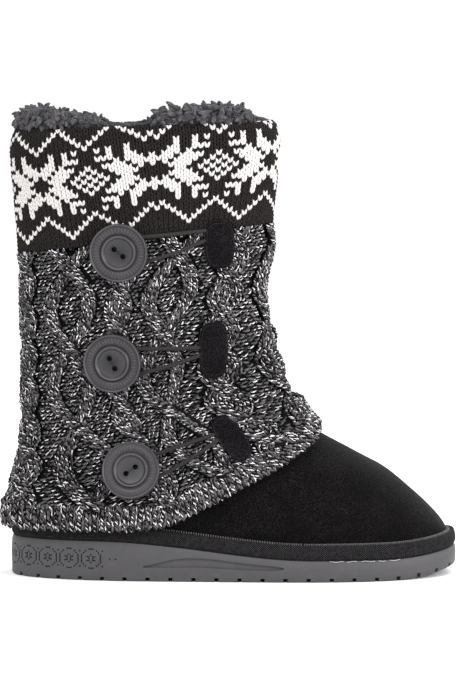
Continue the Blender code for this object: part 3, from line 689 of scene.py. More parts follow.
def shaft_skin():
    """Skin of the cable knit, and the length of each column. Distances run down from the cuff's seam."""
    level, angle = shaft_places(np.linspace(0.0, 1.0, 241)[None, :])
    points = off_last(level, angle, knit_out(level, angle))
    steps = np.linalg.norm(np.diff(points, axis=1), axis=2)
    run = np.concatenate((np.zeros((SKIN_COLUMNS, 1)), np.cumsum(steps, axis=1)), axis=1)
    wanted = np.arange(0.0, run[:, -1].max() + 3 * SKIN_PITCH, SKIN_PITCH)
    even = np.empty((SKIN_COLUMNS, len(wanted), 3))
    for k in range(SKIN_COLUMNS):
        for axis in range(3):
            even[k, :, axis] = np.interp(wanted, run[k], points[k, :, axis])
        past = wanted > run[k, -1]
        ahead = unit(points[k, -1] - points[k, -6])
        even[k, past] = points[k, -1] + (wanted[past] - run[k, -1])[:, None] * ahead
    return Skin(even, SKIN_PITCH), run[:, -1]


def yarn(name, skin, column, distance, lift, across, deep, finish, sides=5):
    """Short lengths of yarn on a skin, as one mesh. The arrays give each length's middle line, from tip to
    tip. Across and deep are its half width and half thickness along it, nothing at the tips."""
    count, stations = column.shape
    turn = turns(sides) - math.pi / 2
    middle = skin.place(column, distance, lift)
    rings, _ = ringed(middle, skin.normal(column, distance), across[None], deep[None], turn)
    made = new_object(name, *tubes(rings[:, 1:-1], middle[:, 0], middle[:, -1]), finish)
    chances = np.random.default_rng(SEED + count).random(count)
    mark_plies(made, turn, np.linspace(0, 1, stations)[1:-1], chances)
    return made


# Materials


def new_material(name, colour, roughness):
    """A node material with its main socket values set."""
    made = bpy.data.materials.new(name)
    made.use_nodes = True
    shader = made.node_tree.nodes["Principled BSDF"]
    shader.inputs["Base Color"].default_value = (*colour, 1.0)
    shader.inputs["Roughness"].default_value = roughness
    made.diffuse_color = (*colour, 1.0)
    return made, made.node_tree, shader


def node(tree, kind, inputs=None, **settings):
    """Adds a node, sets what it is told and links the inputs that are sockets."""
    made = tree.nodes.new(kind)
    for name, value in settings.items():
        setattr(made, name, value)
    for name, value in (inputs or {}).items():
        if isinstance(value, bpy.types.NodeSocket):
            tree.links.new(value, made.inputs[name])
        else:
            made.inputs[name].default_value = value
    return made


def calculate(tree, operation, first, second=0.0):
    return node(tree, "ShaderNodeMath", {0: first, 1: second}, operation=operation).outputs[0]


def multiply_add(tree, value, factor, more):
    inputs = {0: value, 1: factor, 2: more}
    return node(tree, "ShaderNodeMath", inputs, operation="MULTIPLY_ADD").outputs[0]


def attribute(tree, name, output="Vector"):
    """What the mesh's points store under a name: a vector, or a number with the output Fac."""
    return node(tree, "ShaderNodeAttribute", attribute_name=name).outputs[output]


def noise(tree, scale, detail=3.0, stretch=(1.0, 1.0, 1.0)):
    """Noise over the object's own places, in features per metre."""
    place = node(tree, "ShaderNodeTexCoord").outputs["Object"]
    moved = node(tree, "ShaderNodeMapping", {"Vector": place, "Scale": stretch}).outputs[0]
    inputs = {"Vector": moved, "Scale": scale, "Detail": detail}
    return node(tree, "ShaderNodeTexNoise", inputs).outputs["Fac"]


def spread(tree, value, low, high, out_low, out_high):
    """Maps a value's range to another."""
    inputs = {"Value": value, "From Min": low, "From Max": high, "To Min": out_low, "To Max": out_high}
    return node(tree, "ShaderNodeMapRange", inputs).outputs[0]


def blend_colours(tree, share, first, second):
    """A mix of two colours, each a socket or a plain colour."""
    made = node(tree, "ShaderNodeMix", data_type="RGBA")
    made.inputs["Factor"].default_value = 0.0
    tree.links.new(share, made.inputs["Factor"])
    for slot, colour in ((6, first), (7, second)):
        if isinstance(colour, bpy.types.NodeSocket):
            tree.links.new(colour, made.inputs[slot])
        else:
            made.inputs[slot].default_value = (*colour, 1.0)
    return made.outputs[2]


def paint(tree, shader, share, first, second, shine):
    """Colours the shader with a mix of two colours, and sets how much it mirrors."""
    tree.links.new(blend_colours(tree, share, first, second), shader.inputs["Base Color"])
    shader.inputs["Specular IOR Level"].default_value = shine


def bump(tree, shader, height, depth, strength=1.0):
    """Fine relief of a real depth on the shader."""
    made = node(tree, "ShaderNodeBump", {"Height": height, "Strength": strength, "Distance": depth})
    tree.links.new(made.outputs[0], shader.inputs["Normal"])


def soft_sheen(shader, weight, roughness, tint):
    shader.inputs["Sheen Weight"].default_value = weight
    shader.inputs["Sheen Roughness"].default_value = roughness
    shader.inputs["Sheen Tint"].default_value = (*tint, 1.0)


PLY_TWIST = 0.8
PLY_SHADE = 0.34
# Tones of the marled yarn round its plies: place, tone.
PLY_TONES = (
    (0.26, 0.005),
    (0.34, 0.045),
    (0.60, 0.166),
    (0.66, 0.005),
    (0.80, 0.008),
    (0.83, 0.90),
    (0.93, 0.78),
)
# Dark and light of the lengths that have no white ply
QUIET_PLIES = ((0.005, 0.0048, 0.005), (0.118, 0.112, 0.117))
TWILL_RIDGE = 0.0015
TWILL_PICK = 0.0009


def suede(name, dark, light):
    """Suede with a brushed nap."""
    made, tree, shader = new_material(name, dark, 0.95)
    brushed = spread(tree, noise(tree, 55.0, 4.0), 0.35, 0.70, 0.35, 1.0)
    nap = noise(tree, 1500.0, 2.0)
    share = calculate(tree, "MULTIPLY", brushed, spread(tree, nap, 0.45, 0.72, 0.0, 1.0))
    paint(tree, shader, share, dark, light, 0.06)
    soft_sheen(shader, 0.08, 0.4, (0.7, 0.7, 0.72))
    bump(tree, shader, nap, 0.0005, 0.9)
    return made


def wool(name, dark, light, fluff):
    """Plain yarn with fine fibres."""
    made, tree, shader = new_material(name, light, 0.9)
    fibres = noise(tree, 1800.0, 3.0)
    paint(tree, shader, spread(tree, fibres, 0.35, 0.65, 0.0, 1.0), dark, light, 0.06)
    soft_sheen(shader, fluff, 0.5, light)
    bump(tree, shader, fibres, 0.0004, 0.8)
    return made


def marled_wool(name):
    """Yarn of black, grey and white plies twisted together."""
    made, tree, shader = new_material(name, (0.08, 0.08, 0.08), 0.92)
    ply = node(tree, "ShaderNodeSeparateXYZ", {"Vector": attribute(tree, "ply")})
    chance = attribute(tree, "chance", "Fac")
    angle = calculate(tree, "ARCTAN2", ply.outputs[1], ply.outputs[0])
    twisted = multiply_add(tree, ply.outputs[2], PLY_TWIST, calculate(tree, "DIVIDE", angle, 2 * math.pi))
    placed = multiply_add(tree, chance, 7.3, twisted)
    share = calculate(tree, "FRACT", multiply_add(tree, noise(tree, 900.0, 2.0), 0.35, placed))
    ramp = node(tree, "ShaderNodeValToRGB", {"Fac": share})
    stops = ramp.color_ramp.elements
    for stop in stops:
        stop.color = (0.006, 0.006, 0.0065, 1.0)
    for position, tone in PLY_TONES:
        stops.new(position).color = (tone, tone * 0.955, tone * 0.99, 1.0)
    muted = calculate(tree, "FRACT", calculate(tree, "MULTIPLY", chance, 31.7))
    quiet = spread(tree, muted, 0.22, 0.32, 1.0, 0.0)
    plain = blend_colours(tree, spread(tree, share, 0.2, 0.6, 0.0, 1.0), *QUIET_PLIES)
    yarns = blend_colours(tree, quiet, ramp.outputs[0], plain)
    shade = spread(tree, noise(tree, 85.0, 3.0), 0.35, 0.65, 0.0, PLY_SHADE)
    paint(tree, shader, shade, yarns, (0.006, 0.0055, 0.006), 0.06)
    soft_sheen(shader, 0.06, 0.5, (0.6, 0.6, 0.6))
    bump(tree, shader, noise(tree, 1600.0, 2.0), 0.0003, 0.7)
    return made


def rubber(name, tone):
    """Moulded rubber with a fine satin grain."""
    made, tree, shader = new_material(name, (tone, tone * 0.96, tone * 1.05), 0.55)
    patches = noise(tree, 150.0, 5.0)
    darker = (tone * 0.76, tone * 0.72, tone * 0.80)
    lighter = (tone * 1.26, tone * 1.21, tone * 1.32)
    paint(tree, shader, patches, darker, lighter, 0.35)
    tree.links.new(spread(tree, patches, 0.3, 0.7, 0.50, 0.66), shader.inputs["Roughness"])
    bump(tree, shader, noise(tree, 2600.0, 2.0), 0.00012, 0.6)
    return made


def textile_band(name):
    """Twill tape wrapped round the platform."""
    made, tree, shader = new_material(name, (0.04, 0.04, 0.042), 0.85)
    place = node(tree, "ShaderNodeSeparateXYZ", {"Vector": attribute(tree, "band")})
    slant = multiply_add(tree, place.outputs[1], 1.3, place.outputs[0])
    ridge = calculate(tree, "SINE", calculate(tree, "MULTIPLY", slant, 2 * math.pi / TWILL_RIDGE))
    picks = calculate(tree, "SINE", calculate(tree, "MULTIPLY", place.outputs[1], 2 * math.pi / TWILL_PICK))
    worn = spread(tree, noise(tree, 700.0, 2.0), 0.3, 0.7, -0.5, 0.5)
    loud = calculate(tree, "ADD", multiply_add(tree, picks, 0.35, ridge), worn)
    share = spread(tree, loud, -0.4, 1.5, 0.0, 1.0)
    paint(tree, shader, share, (0.0004, 0.0004, 0.0005), (0.052, 0.048, 0.052), 0.1)
    bump(tree, shader, share, 0.0005, 1.0)
    return made


def button_plastic(name):
    """Satin moulded plastic, lighter where it stands proud as painted highlight and darker in its grooves as
    painted shade.
    """
    made, tree, shader = new_material(name, (0.036, 0.033, 0.038), 0.40)
    patches = noise(tree, 90.0, 3.0)
    # The relief attribute carries painted highlight on raised rings and ticks, and painted shade in grooves
    # and on the back.
    relief = attribute(tree, "relief", "Fac")
    share = calculate(tree, "ADD", relief, spread(tree, patches, 0.3, 0.7, -0.08, 0.08))
    paint(tree, shader, share, (0.004, 0.0035, 0.0042), (0.064, 0.058, 0.067), 0.4)
    tree.links.new(spread(tree, patches, 0.3, 0.7, 0.36, 0.48), shader.inputs["Roughness"])
    bump(tree, shader, noise(tree, 2200.0, 2.0), 0.0001, 0.5)
    return made


def elastic_cord(name):
    """Braided elastic."""
    made, tree, shader = new_material(name, (0.045, 0.041, 0.038), 0.8)
    strands = noise(tree, 1400.0, 2.0, (1.0, 1.0, 2.5))
    paint(tree, shader, strands, (0.010, 0.009, 0.008), (0.030, 0.027, 0.025), 0.25)
    bump(tree, shader, strands, 0.0003, 0.8)
    return made


def fleece_wool(name):
    """Charcoal sherpa locks, darker at their roots as painted shade and lighter towards the tips as painted
    highlight.
    """
    made, tree, shader = new_material(name, (0.06, 0.06, 0.065), 0.9)
    ply = attribute(tree, "ply")
    apart = calculate(tree, "MULTIPLY", attribute(tree, "chance", "Fac"), 40.0)
    moved = node(tree, "ShaderNodeCombineXYZ", {"Z": apart}).outputs[0]
    inputs = {"Vector": ply, "Location": moved, "Scale": (2.2, 2.2, 0.9)}
    along = node(tree, "ShaderNodeMapping", inputs).outputs[0]
    inputs = {"Vector": along, "Scale": 1.6, "Detail": 3.0}
    fibres = node(tree, "ShaderNodeTexNoise", inputs).outputs["Fac"]
    height = node(tree, "ShaderNodeSeparateXYZ", {"Vector": ply}).outputs[2]
    share = spread(tree, noise(tree, 160.0, 3.0), 0.3, 0.7, 0.3, 1.0)
    share = calculate(tree, "MULTIPLY", share, spread(tree, fibres, 0.32, 0.68, 0.15, 1.3))
    # Painted shade at the roots and painted highlight towards the tips, along each lock.
    share = calculate(tree, "MULTIPLY", share, spread(tree, height, 0.0, 0.85, 0.30, 1.30))
    paint(tree, shader, share, (0.006, 0.0057, 0.0063), (0.125, 0.119, 0.129), 0.15)
    soft_sheen(shader, 0.12, 0.4, (0.8, 0.8, 0.85))
    bump(tree, shader, multiply_add(tree, noise(tree, 420.0, 2.0), 2.2, fibres), 0.0007, 1.0)
    return made


# Pieces


def stands_for(made, slot, *names):
    """Rides the piece on the boot and lets it stand for its solids, which it hides. Slot is not used."""
    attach(made, "root")
    if names:
        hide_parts(*names)
    return made


CUFF_COLUMNS_FINE = 220
CUFF_ROWS_FINE = 24


def build_cuff_back(finish):
    """The wall behind the cuff's stitches, a closed wall, near black as painted shade for the gaps between
    them.
    """
    angles = signed(seam_angles(CUFF_COLUMNS_FINE))
    outer, inner = [], []
    for share in np.linspace(0.0, 1.0, CUFF_ROWS_FINE) ** 0.6:
        level = mix(seam_level(angles), collar_level(angles), share)
        outer.append(cuff_face(level, angles, CUFF_BACK_DROP))
        inner.append(off_last(level, angles, GAP + knit_slack(level, angles)))
    return tube_shell("cuff_ground", outer + inner[::-1], finish)


def leg_lines(column, distance, lean, side, shape):
    """Middle lines of the legs of knit stitches. Side is -1 or 1. Shape has a row for each station along
    a leg: how far out from the stitch's middle, how far up its row, both as shares, and the lift."""
    out, up, lift = (np.asarray(values)[None, :] for values in zip(*shape))
    columns = column[:, None] + side[:, None] * out - lean[:, None] * up
    distances = distance[:, None] + up * CUFF_ROW
    return columns, distances, np.broadcast_to(lift, columns.shape)


# Leg of a cuff stitch: out from the stitch's middle, up its row, lift.
CUFF_LEG = (
    (0.06, -0.78, -0.0004),
    (0.13, -0.60, 0.0004),
    (0.26, 0.0, 0.0007),
    (0.38, 0.62, 0.0003),
    (0.46, 0.95, -0.0003),
)
# How unevenly the cuff's stitches sit, along a row and up it, as shares of a stitch
CUFF_UNEVEN = (0.035, 0.05)
CUFF_ACROSS = np.array((0.0, 0.00074, 0.00088, 0.00072, 0.0))
CUFF_DEEP = np.array((0.0, 0.00065, 0.00080, 0.00062, 0.0))
PATTERN_FULLER = 1.13


def build_cuff_stitches(skin, white, black):
    """Every stitch of the cuff, as two legs, in one mesh for each colour."""
    rows = int(CUFF_REACH / CUFF_ROW)
    column, row = np.meshgrid(np.arange(STITCH_COLUMNS) + 0.5, np.arange(-1, rows), indexing="ij")
    angles = signed(seam_angles(SKIN_COLUMNS))[1::2]
    reach = (collar_level(angles) - seam_level(angles) + 0.8 * KNIT_WALL)[:, None]
    distance = (row + 0.5) * CUFF_ROW + BOW_RISE * np.exp(-(((column - BOW_COLUMN) / BOW_SPREAD) ** 2))
    shown = (distance < reach) & (distance > 0.25 * CUFF_ROW)
    column, row, distance = column[shown], row[shown], distance[shown]
    past_join = (np.floor(column) - STAR_COLUMN - JOIN_COLUMNS) % STITCH_COLUMNS
    away = np.abs(np.minimum(past_join, STITCH_COLUMNS - JOIN_COLUMNS - past_join)) % STAR_REPEAT
    away = np.minimum(away, STAR_REPEAT - away).astype(int)
    height = np.abs(row - STAR_ROW)
    chart = np.array([[mark == "#" for mark in line] for line in STAR_CHART])
    lit = (height < len(chart)) & chart[np.minimum(height, len(chart) - 1), away]
    loose = np.random.default_rng(SEED).normal(0.0, 1.0, (2, len(column)))
    outer_side = ease((column - CROWD_START) / CROWD_COLUMNS)
    crowd = CROWD_SHIFT * np.where(column > CROWD_EASED, outer_side, 1 - ease(column / CROWD_EASED))
    lean = rows_at(CUFF_LEANS, column)[..., 1]
    column = column + crowd + STAR_PHASE - lean * (row - STAR_ROW) + CUFF_UNEVEN[0] * loose[0]
    distance = distance + CUFF_UNEVEN[1] * loose[1] * CUFF_ROW
    made = []
    colours = (("cuff_pattern_yarn", lit, white, PATTERN_FULLER), ("cuff_ground_yarn", ~lit, black, 1.0))
    for name, chosen, finish, fuller in colours:
        side = np.repeat((-1.0, 1.0), chosen.sum())
        legs = [np.tile(values[chosen], 2) for values in (column, distance, lean)]
        lines = leg_lines(*legs, side, CUFF_LEG)
        made.append(yarn(name, skin, *lines, CUFF_ACROSS * fuller, CUFF_DEEP * fuller, finish))
    return made


def build_shaft_back(finish):
    """The wall behind the cable knit, a closed wall, near black as painted shade for the gaps between the
    stitches.
    """
    share = np.linspace(0.0, 1.0, 66)[None, :] ** 0.9
    level, angle = shaft_places(share)
    edge = 1 - ease((1 - share) / 0.02)
    outer = off_last(level, angle, knit_out(level, angle) - BACK_DROP - 0.0006 * edge)
    inner = off_last(level, angle, GAP + worn_slack(level, angle))
    rings = np.concatenate((np.moveaxis(outer, 1, 0), np.moveaxis(inner, 1, 0)[::-6]))
    return tube_shell("cable_shade_wall", rings, finish)


LATTICE, ROPE = "lattice", "rope"
# Middle of each cable, counted in columns from CABLE_COLUMN to either side
CABLE_MIDDLES = ((ROPE, 0), (LATTICE, 10), (ROPE, 20), (LATTICE, 30), (ROPE, 40), (LATTICE, 50))


# How far each kind of strand wanders, the rows of half a wave and the row it starts from
STRAND_WAVES = {
    LATTICE: (LATTICE_REACH, LATTICE_ROWS, LATTICE_START),
    ROPE: (ROPE_REACH, ROPE_ROWS, ROPE_START),
}


def strand_path(kind, sign, row):
    """Where a strand of a cable runs, in columns from the cable's middle, and how high it rides."""
    reach, rows, start = STRAND_WAVES[kind]
    phase = math.pi * (row - start) / rows
    meeting = np.abs(np.cos(phase)) ** 3 * np.sign(sign * np.cos(phase))
    return sign * reach * np.sin(phase), CROSSING_RISE * meeting


def cables():
    """Each cable's kind and middle column, on both sides of CABLE_COLUMN."""
    found = []
    for kind, away in CABLE_MIDDLES:
        for side in (-1, 1) if away else (1,):
            found.append((kind, CABLE_COLUMN + side * away))
    return found


CORE_STATIONS = 90
CORE_HALF = 0.0043
CORE_DEEP = 0.0018
STRAND_LEG = np.array((-0.96, -0.66, 0.0, 0.66, 0.98))
STRAND_ACROSS = np.array((0.0, 0.76, 1.06, 0.78, 0.0)) * YARN * 1.12
STRAND_DEEP = np.array((0.0, 0.72, 1.06, 0.74, 0.0)) * YARN * 1.05


def build_strands(skin, lengths, finish):
    """The cables: strands of knit stitches that wander and cross, in two meshes."""
    rng = np.random.default_rng(SEED + 1)
    rows = np.arange(int(lengths.max() / STITCH_ROW))
    t = STRAND_LEG[None, :]
    made = []
    for kind in (LATTICE, ROPE):
        lines = []
        middles = [middle for found, middle in cables() if found == kind]
        for middle, sign, stitch, side in product(middles, (-1, 1), STRAND_STITCHES, (-1, 1)):
            loose = rng.normal(0.0, 1.0, (4, len(rows), 1))
            row = rows[:, None] + 0.5 + 0.12 * loose[0] - (0.62 + 0.05 * loose[3]) * t
            path, ride = strand_path(kind, sign, row)
            across = stitch + side * (0.26 + 0.16 * t) + 0.06 * loose[1] + 0.07 * t * loose[3]
            dome = STRAND_RISE * np.sqrt(np.maximum(0.0, 1 - (across / 2.0) ** 2)) - 0.0009
            arch = 0.00045 * np.cos(t * math.pi / 2)
            lift = dome + ride + arch + 0.0002 * loose[2]
            lines.append((middle + path + across * 0.98, row * STITCH_ROW, lift))
        columns, distances, lifts = (np.concatenate(part) for part in zip(*lines))
        inside = distances.max(axis=1) < column_length(lengths, columns[:, 2]) - 0.75 * HEM_BAND
        keep = inside & (distances.min(axis=1) > -0.0009)
        lines = (columns[keep], distances[keep], lifts[keep])
        made.append(yarn(f"{kind}_yarn", skin, *lines, STRAND_ACROSS, STRAND_DEEP, finish))
    return made


def build_strand_cores(skin, lengths, finish):
    """Solid cores under the strands of the cables, so that no light passes beneath them."""
    shares = np.linspace(0.0, 1.0, CORE_STATIONS)
    columns, distances, lifts = [], [], []
    for kind, middle in cables():
        distance = 0.001 + shares * (float(column_length(lengths, middle)) - 0.8 * HEM_BAND)
        for sign in (-1, 1):
            path, ride = strand_path(kind, sign, distance / STITCH_ROW)
            columns.append(middle + path)
            distances.append(distance)
            lifts.append(ride - 0.0006)
    lines = [np.asarray(part) for part in (columns, distances, lifts)]
    full = np.sqrt(np.clip(np.minimum(shares, 1 - shares) * 30, 0.0, 1.0))
    return yarn("cable_core", skin, *lines, full * CORE_HALF, full * CORE_DEEP, finish, sides=8)


def column_length(lengths, column):
    """Length of a column from the seam to the hem, between the skin's columns."""
    place = np.asarray(column, float) / STITCH_COLUMNS * len(lengths)
    step = np.floor(place).astype(int)
    return mix(lengths[step % len(lengths)], lengths[(step + 1) % len(lengths)], place - step)


BAR_ALONG = np.array((-0.56, -0.40, 0.0, 0.40, 0.56))
BAR_ACROSS = np.array((0.0, 0.75, 1.0, 0.75, 0.0)) * YARN * 1.16
BAR_DEEP = np.array((0.0, 0.8, 1.0, 0.8, 0.0)) * YARN * 1.05


def build_purl_ground(skin, lengths, finish):
    """Rows of purl bumps between the cables."""
    rng = np.random.default_rng(SEED + 2)
    places = np.meshgrid(np.arange(STITCH_COLUMNS), np.arange(int(lengths.max() / PURL_ROW)), indexing="ij")
    column, row = (part.ravel() for part in places)
    column = column + 0.5 + 0.5 * (row % 2)
    free = (row + 1.2) * PURL_ROW < column_length(lengths, column) - 0.8 * HEM_BAND
    half = STITCH_COLUMNS / 2
    for kind, middle in cables():
        for sign in (-1, 1):
            path, _ = strand_path(kind, sign, (row + 0.5) * PURL_ROW / STITCH_ROW)
            away = np.abs((column - middle - path + half) % STITCH_COLUMNS - half)
            free &= away > PURL_CLEAR
    column, row = column[free], row[free]
    loose = rng.normal(0.0, 1.0, (3, len(column), 1))
    columns = column[:, None] + BAR_ALONG * (1 + 0.08 * loose[0])
    wave = 0.14 * np.cos(BAR_ALONG * math.pi / 0.56) + 0.30 * loose[2] * BAR_ALONG
    distances = (row[:, None] + 0.5 + 0.10 * loose[1] + wave) * PURL_ROW
    lifts = -GROUND_DROP + 0.0005 * np.cos(BAR_ALONG * math.pi / 1.1) + 0.0002 * loose[0]
    return yarn("purl_yarn", skin, columns, distances, lifts, BAR_ACROSS, BAR_DEEP, finish)


def build_rib_band(skin, lengths, finish):
    """Ribbed band along the hem, with the edge rolled over and cross bars behind the ribs."""
    rng = np.random.default_rng(SEED + 3)
    pitch = HEM_BAND / RIB_ROWS
    rows = np.arange(RIB_ROWS)[:, None]
    t = STRAND_LEG[None, :]
    fade = 1 - 0.5 * (rows / RIB_ROWS) ** 2
    lines = []
    for rib, side in product(np.arange(STITCH_COLUMNS) + 0.5, (-1, 1)):
        loose = rng.normal(0.0, 1.0, (2, RIB_ROWS, 1))
        up = (rows + 0.55 + 0.14 * loose[1]) + 0.78 * t
        lift = -0.0004 * fade + 0.0003 * np.cos(t * math.pi / 2) - 0.0012 * np.clip(-up, 0, 1)
        column = rib + side * (0.21 + 0.17 * t) + 0.05 * loose[0]
        lines.append((column, float(column_length(lengths, rib)) - up * pitch, lift))
    for rib in np.arange(STITCH_COLUMNS):
        distance = float(column_length(lengths, rib)) - (rows + 0.5) * pitch
        lines.append((rib + 0.22 * t + 0 * rows, distance + 0 * t, -0.0012 + 0 * t + 0 * rows))
    columns, distances, lifts = (np.concatenate(part) for part in zip(*lines))
    return yarn("rib_yarn", skin, columns, distances, lifts, STRAND_ACROSS * 1.08, STRAND_DEEP, finish)


UPPER_COLUMNS = 160
UPPER_ROWS = 64


def build_upper(finish, inside_finish):
    """Suede upper with a few soft creases, lined with fleece, open at the collar and underneath."""
    angles = turns(UPPER_COLUMNS)
    outer, inner = [], []
    for share in np.linspace(0.0, 1.0, UPPER_ROWS) ** 1.7:
        level = mix(GAP, collar_level(angles), share)
        outer.append(off_last(level, angles, vamp_relief(level, angles)))
    for share in (np.linspace(0.0, 1.0, 24) ** 1.5)[::-1]:
        level = mix(GAP, collar_level(angles), share)
        inner.append(off_last(level, angles, np.full_like(angles, -UPPER_WALL)))
    made = tube_shell("suede_upper", outer + inner, finish)
    made.data.materials.append(inside_finish)
    row = np.arange(len(made.data.polygons)) // UPPER_COLUMNS
    made.data.polygons.foreach_set("material_index", ((row >= UPPER_ROWS) & (row < row[-1])).astype(int))
    return made


# Soft creases over the vamp: place, how far back it runs from the ridge to the side, width, depth.
# The first two are shares of the sole's length, the others metres.
VAMP_CREASES = (
    (0.690, 0.020, 0.0060, 0.00050),
    (0.735, 0.016, 0.0050, 0.00035),
    (0.800, 0.010, 0.0070, 0.00030),
)


def vamp_relief(level, angle):
    """Small swells and soft creases of the vamp."""
    point = last_point(level, angle)
    relief = 0.00015 * np.sin(point[..., 0] * 170 + 3 * np.sin(point[..., 1] * 90)) * ease(level / 0.010)
    ridge = np.exp(-((np.asarray(signed(angle)) / 0.8) ** 2))
    for place, lean, width, depth in VAMP_CREASES:
        away = point[..., 0] - (place - lean * (1 - ridge)) * SOLE_LENGTH
        relief = relief - depth * ridge * np.exp(-((away / width) ** 2)) * ease(level / 0.012)
    return relief


def build_midsole(finish):
    """Platform plate wrapped in twill tape, with a soft raised rim."""
    angles = even_sole_angles(320)
    rings, heights = [], []
    for place in np.linspace(0.0, RIM_PROFILE[-1][0], 25):
        _, height, inset, rise = rows_at(RIM_PROFILE, place)
        x, y = sole_outline(angles, inset * FEATHER_INSET)
        z = mix(rubber_top(x) + GAP, feather_height(x), height) + rise * FEATHER_INSET
        rings.append(np.stack((x, y, z), axis=-1))
        heights.append(height * MIDSOLE_THICKNESS + max(0.0, inset) * FEATHER_INSET)
    made = plate("wrapped_midsole", rings, finish)
    band = np.broadcast_arrays(outline_run(angles)[None, :], np.asarray(heights)[:, None], 0.0)
    set_attribute(made, "band", np.stack(band, axis=-1).reshape(-1, 3))
    return made


def even_sole_angles(count):
    """Angles that cut the sole's outline into equal lengths."""
    return even_angles(lambda a: np.stack((*sole_outline(a, 0.0), np.zeros_like(a)), axis=-1), count)


def outline_run(angles):
    """Distance along the sole's outline at each of its angles."""
    x, y = sole_outline(angles, 0.0)
    return np.concatenate(([0.0], np.cumsum(np.hypot(np.diff(x), np.diff(y)))))


BLOCK_FACES = ((3, 2, 1, 0), (4, 5, 6, 7), (0, 1, 5, 4), (1, 2, 6, 5), (2, 3, 7, 6), (3, 0, 4, 7))
GLUE_RADIUS = 0.00017
EDGE_THREAD_RADIUS = 0.00042
THREAD_GUIDE = (0.21, 0.34, 0.91)
# Profile of the rubber, ground to top: share of its height, inset, lift.
SOLE_PROFILE = (
    (0.0, GROUND_BEVEL, 0.0),
    (0.0, 0.35 * GROUND_BEVEL, 0.28 * GROUND_BEVEL),
    (0.0, 0.0, GROUND_BEVEL),
    (0.55, -GAP, 0.0),
    (0.92, 0.0, 0.0),
    (1.0, 0.0008, GAP),
)
# Ends of each trace of glue, as shares of the sole's length
GLUE_TRACES = ((0.712, 0.742), (0.750, 0.772), (0.781, 0.812), (0.820, 0.836), (0.845, 0.868))


def boxes(runs, low, high, width, name, finish):
    """One straight-sided block for each run on the ground plane, given its two ends."""
    points, faces = [], []
    for start, end in runs:
        start, end = np.asarray(start), np.asarray(end)
        along = unit(end - start)
        aside = np.array((-along[1], along[0])) * width / 2
        first = len(points)
        for z in (low, high):
            for corner in (start - aside, end - aside, end + aside, start + aside):
                top = z if z < 0 else z + float(ground_height(corner[0]))
                points.append((*corner, top))
        faces += [[first + k for k in quad] for quad in BLOCK_FACES]
    return new_object(name, np.asarray(points) + SHIFT, faces, finish)


def outline_frame(angle):
    """A point of the sole's outline and its outward direction, on the ground plane."""
    x, y = sole_outline(angle, 0.0)
    ahead, behind = sole_outline(angle + NORMAL_TURN, 0.0), sole_outline(angle - NORMAL_TURN, 0.0)
    along = unit(np.array((ahead[0] - behind[0], ahead[1] - behind[1])))
    return np.array((x, y)), np.array((along[1], -along[0]))


def angle_at(x, side):
    """Angle of the sole's outline at a distance from its back, on one side."""
    low, high = 0.0, math.pi
    for _ in range(40):
        middle = (low + high) / 2
        if sole_outline(middle, 0.0)[0] > x:
            low = middle
        else:
            high = middle
    return side * low


def lug_grooves(finish):
    """Cutters of the grooves between the edge lugs and across the tread."""
    x, y = sole_outline(turns(HEM_STEPS), 0.0)
    rough = np.hypot(np.roll(x, -1) - x, np.roll(y, -1) - y).sum()
    count = 2 * round(rough / LUG_PITCH / 2)
    runs = []
    for angle in even_sole_angles(2 * count)[1::2]:
        edge, out = outline_frame(angle)
        runs.append((edge - out * LUG_LENGTH, edge + out * GROOVE_WIDTH))
    edge_cutter = boxes(runs, -GROOVE_DEPTH, GROOVE_DEPTH, GROOVE_WIDTH, "edge_grooves", finish)
    start, stop = CROSS_MARGIN * LUG_LENGTH, SOLE_LENGTH - CROSS_MARGIN * LUG_LENGTH
    count = round((stop - start) / CROSS_PITCH)
    runs = []
    for k in range(count):
        x = start + (k + 0.5) * (stop - start) / count
        ends = [float(sole_outline(angle_at(x, side), CROSS_INSET * LUG_LENGTH)[1]) for side in (1, -1)]
        runs.append(((x, ends[1]), (x, ends[0])))
    return edge_cutter, boxes(runs, -GROOVE_DEPTH, GROOVE_DEPTH, GROOVE_WIDTH, "cross_grooves", finish)


def recess_cutter(side, finish):
    """A strip along one side of the rubber, pointed at the back and round at the front."""
    points = []
    for share in np.linspace(0.0, 1.0, 33):
        _, middle, half = rows_at(RECESS_PROFILE, share)
        x = RECESS_START + share * RECESS_LENGTH
        for out in (RECESS_DEPTH, -RECESS_DEPTH):
            y = float(sole_outline(angle_at(x, side), -out)[1])
            for z in (middle - half, middle + half):
                points.append((x, y, z * RUBBER_AT_BALL))
    faces = [(0, 2, 3, 1)]
    stations = len(points) // 4
    for station in range(stations - 1):
        a, b = 4 * station, 4 * (station + 1)
        faces += [(a + i, a + j, b + j, b + i) for i, j in ((0, 1), (1, 3), (3, 2), (2, 0))]
    end = len(points) - 4
    faces.append((end, end + 1, end + 3, end + 2))
    return outward(new_object(f"recess_{side}", np.asarray(points) + SHIFT, faces, finish))


def cut_away(made, cutters):
    """Takes the cutters away from a piece for good, and deletes them."""
    for cutter in cutters:
        cut = made.modifiers.new("cut", "BOOLEAN")
        cut.operation, cut.solver, cut.object = "DIFFERENCE", "EXACT", cutter
        cut.material_mode = "TRANSFER"
        bpy.context.view_layer.update()
        shown = made.evaluated_get(bpy.context.evaluated_depsgraph_get())
        cut_mesh = bpy.data.meshes.new_from_object(shown)
        made.modifiers.clear()
        made.data = cut_mesh
        bpy.data.objects.remove(cutter, do_unlink=True)
    return made


# Half of one engraved flower at the heel, from its middle column outwards. Rows go down.
HEEL_CHART = (
    "##.....",
    "...#..#",
    "....#..",
    "#....#.",
    ".##..#.",
    ".#...#.",
    ".##..#.",
    "#....#.",
    "....#..",
    "...#..#",
    "##.....",
)
HEEL_CELL = 0.00114
HEEL_SQUARE = 0.41
HEEL_PITCH = 12
HEEL_FLOWERS = 5
HEEL_DOTS = (70, 73)
HEEL_DEPTH = 0.0005
HEEL_HEIGHT = 0.0131


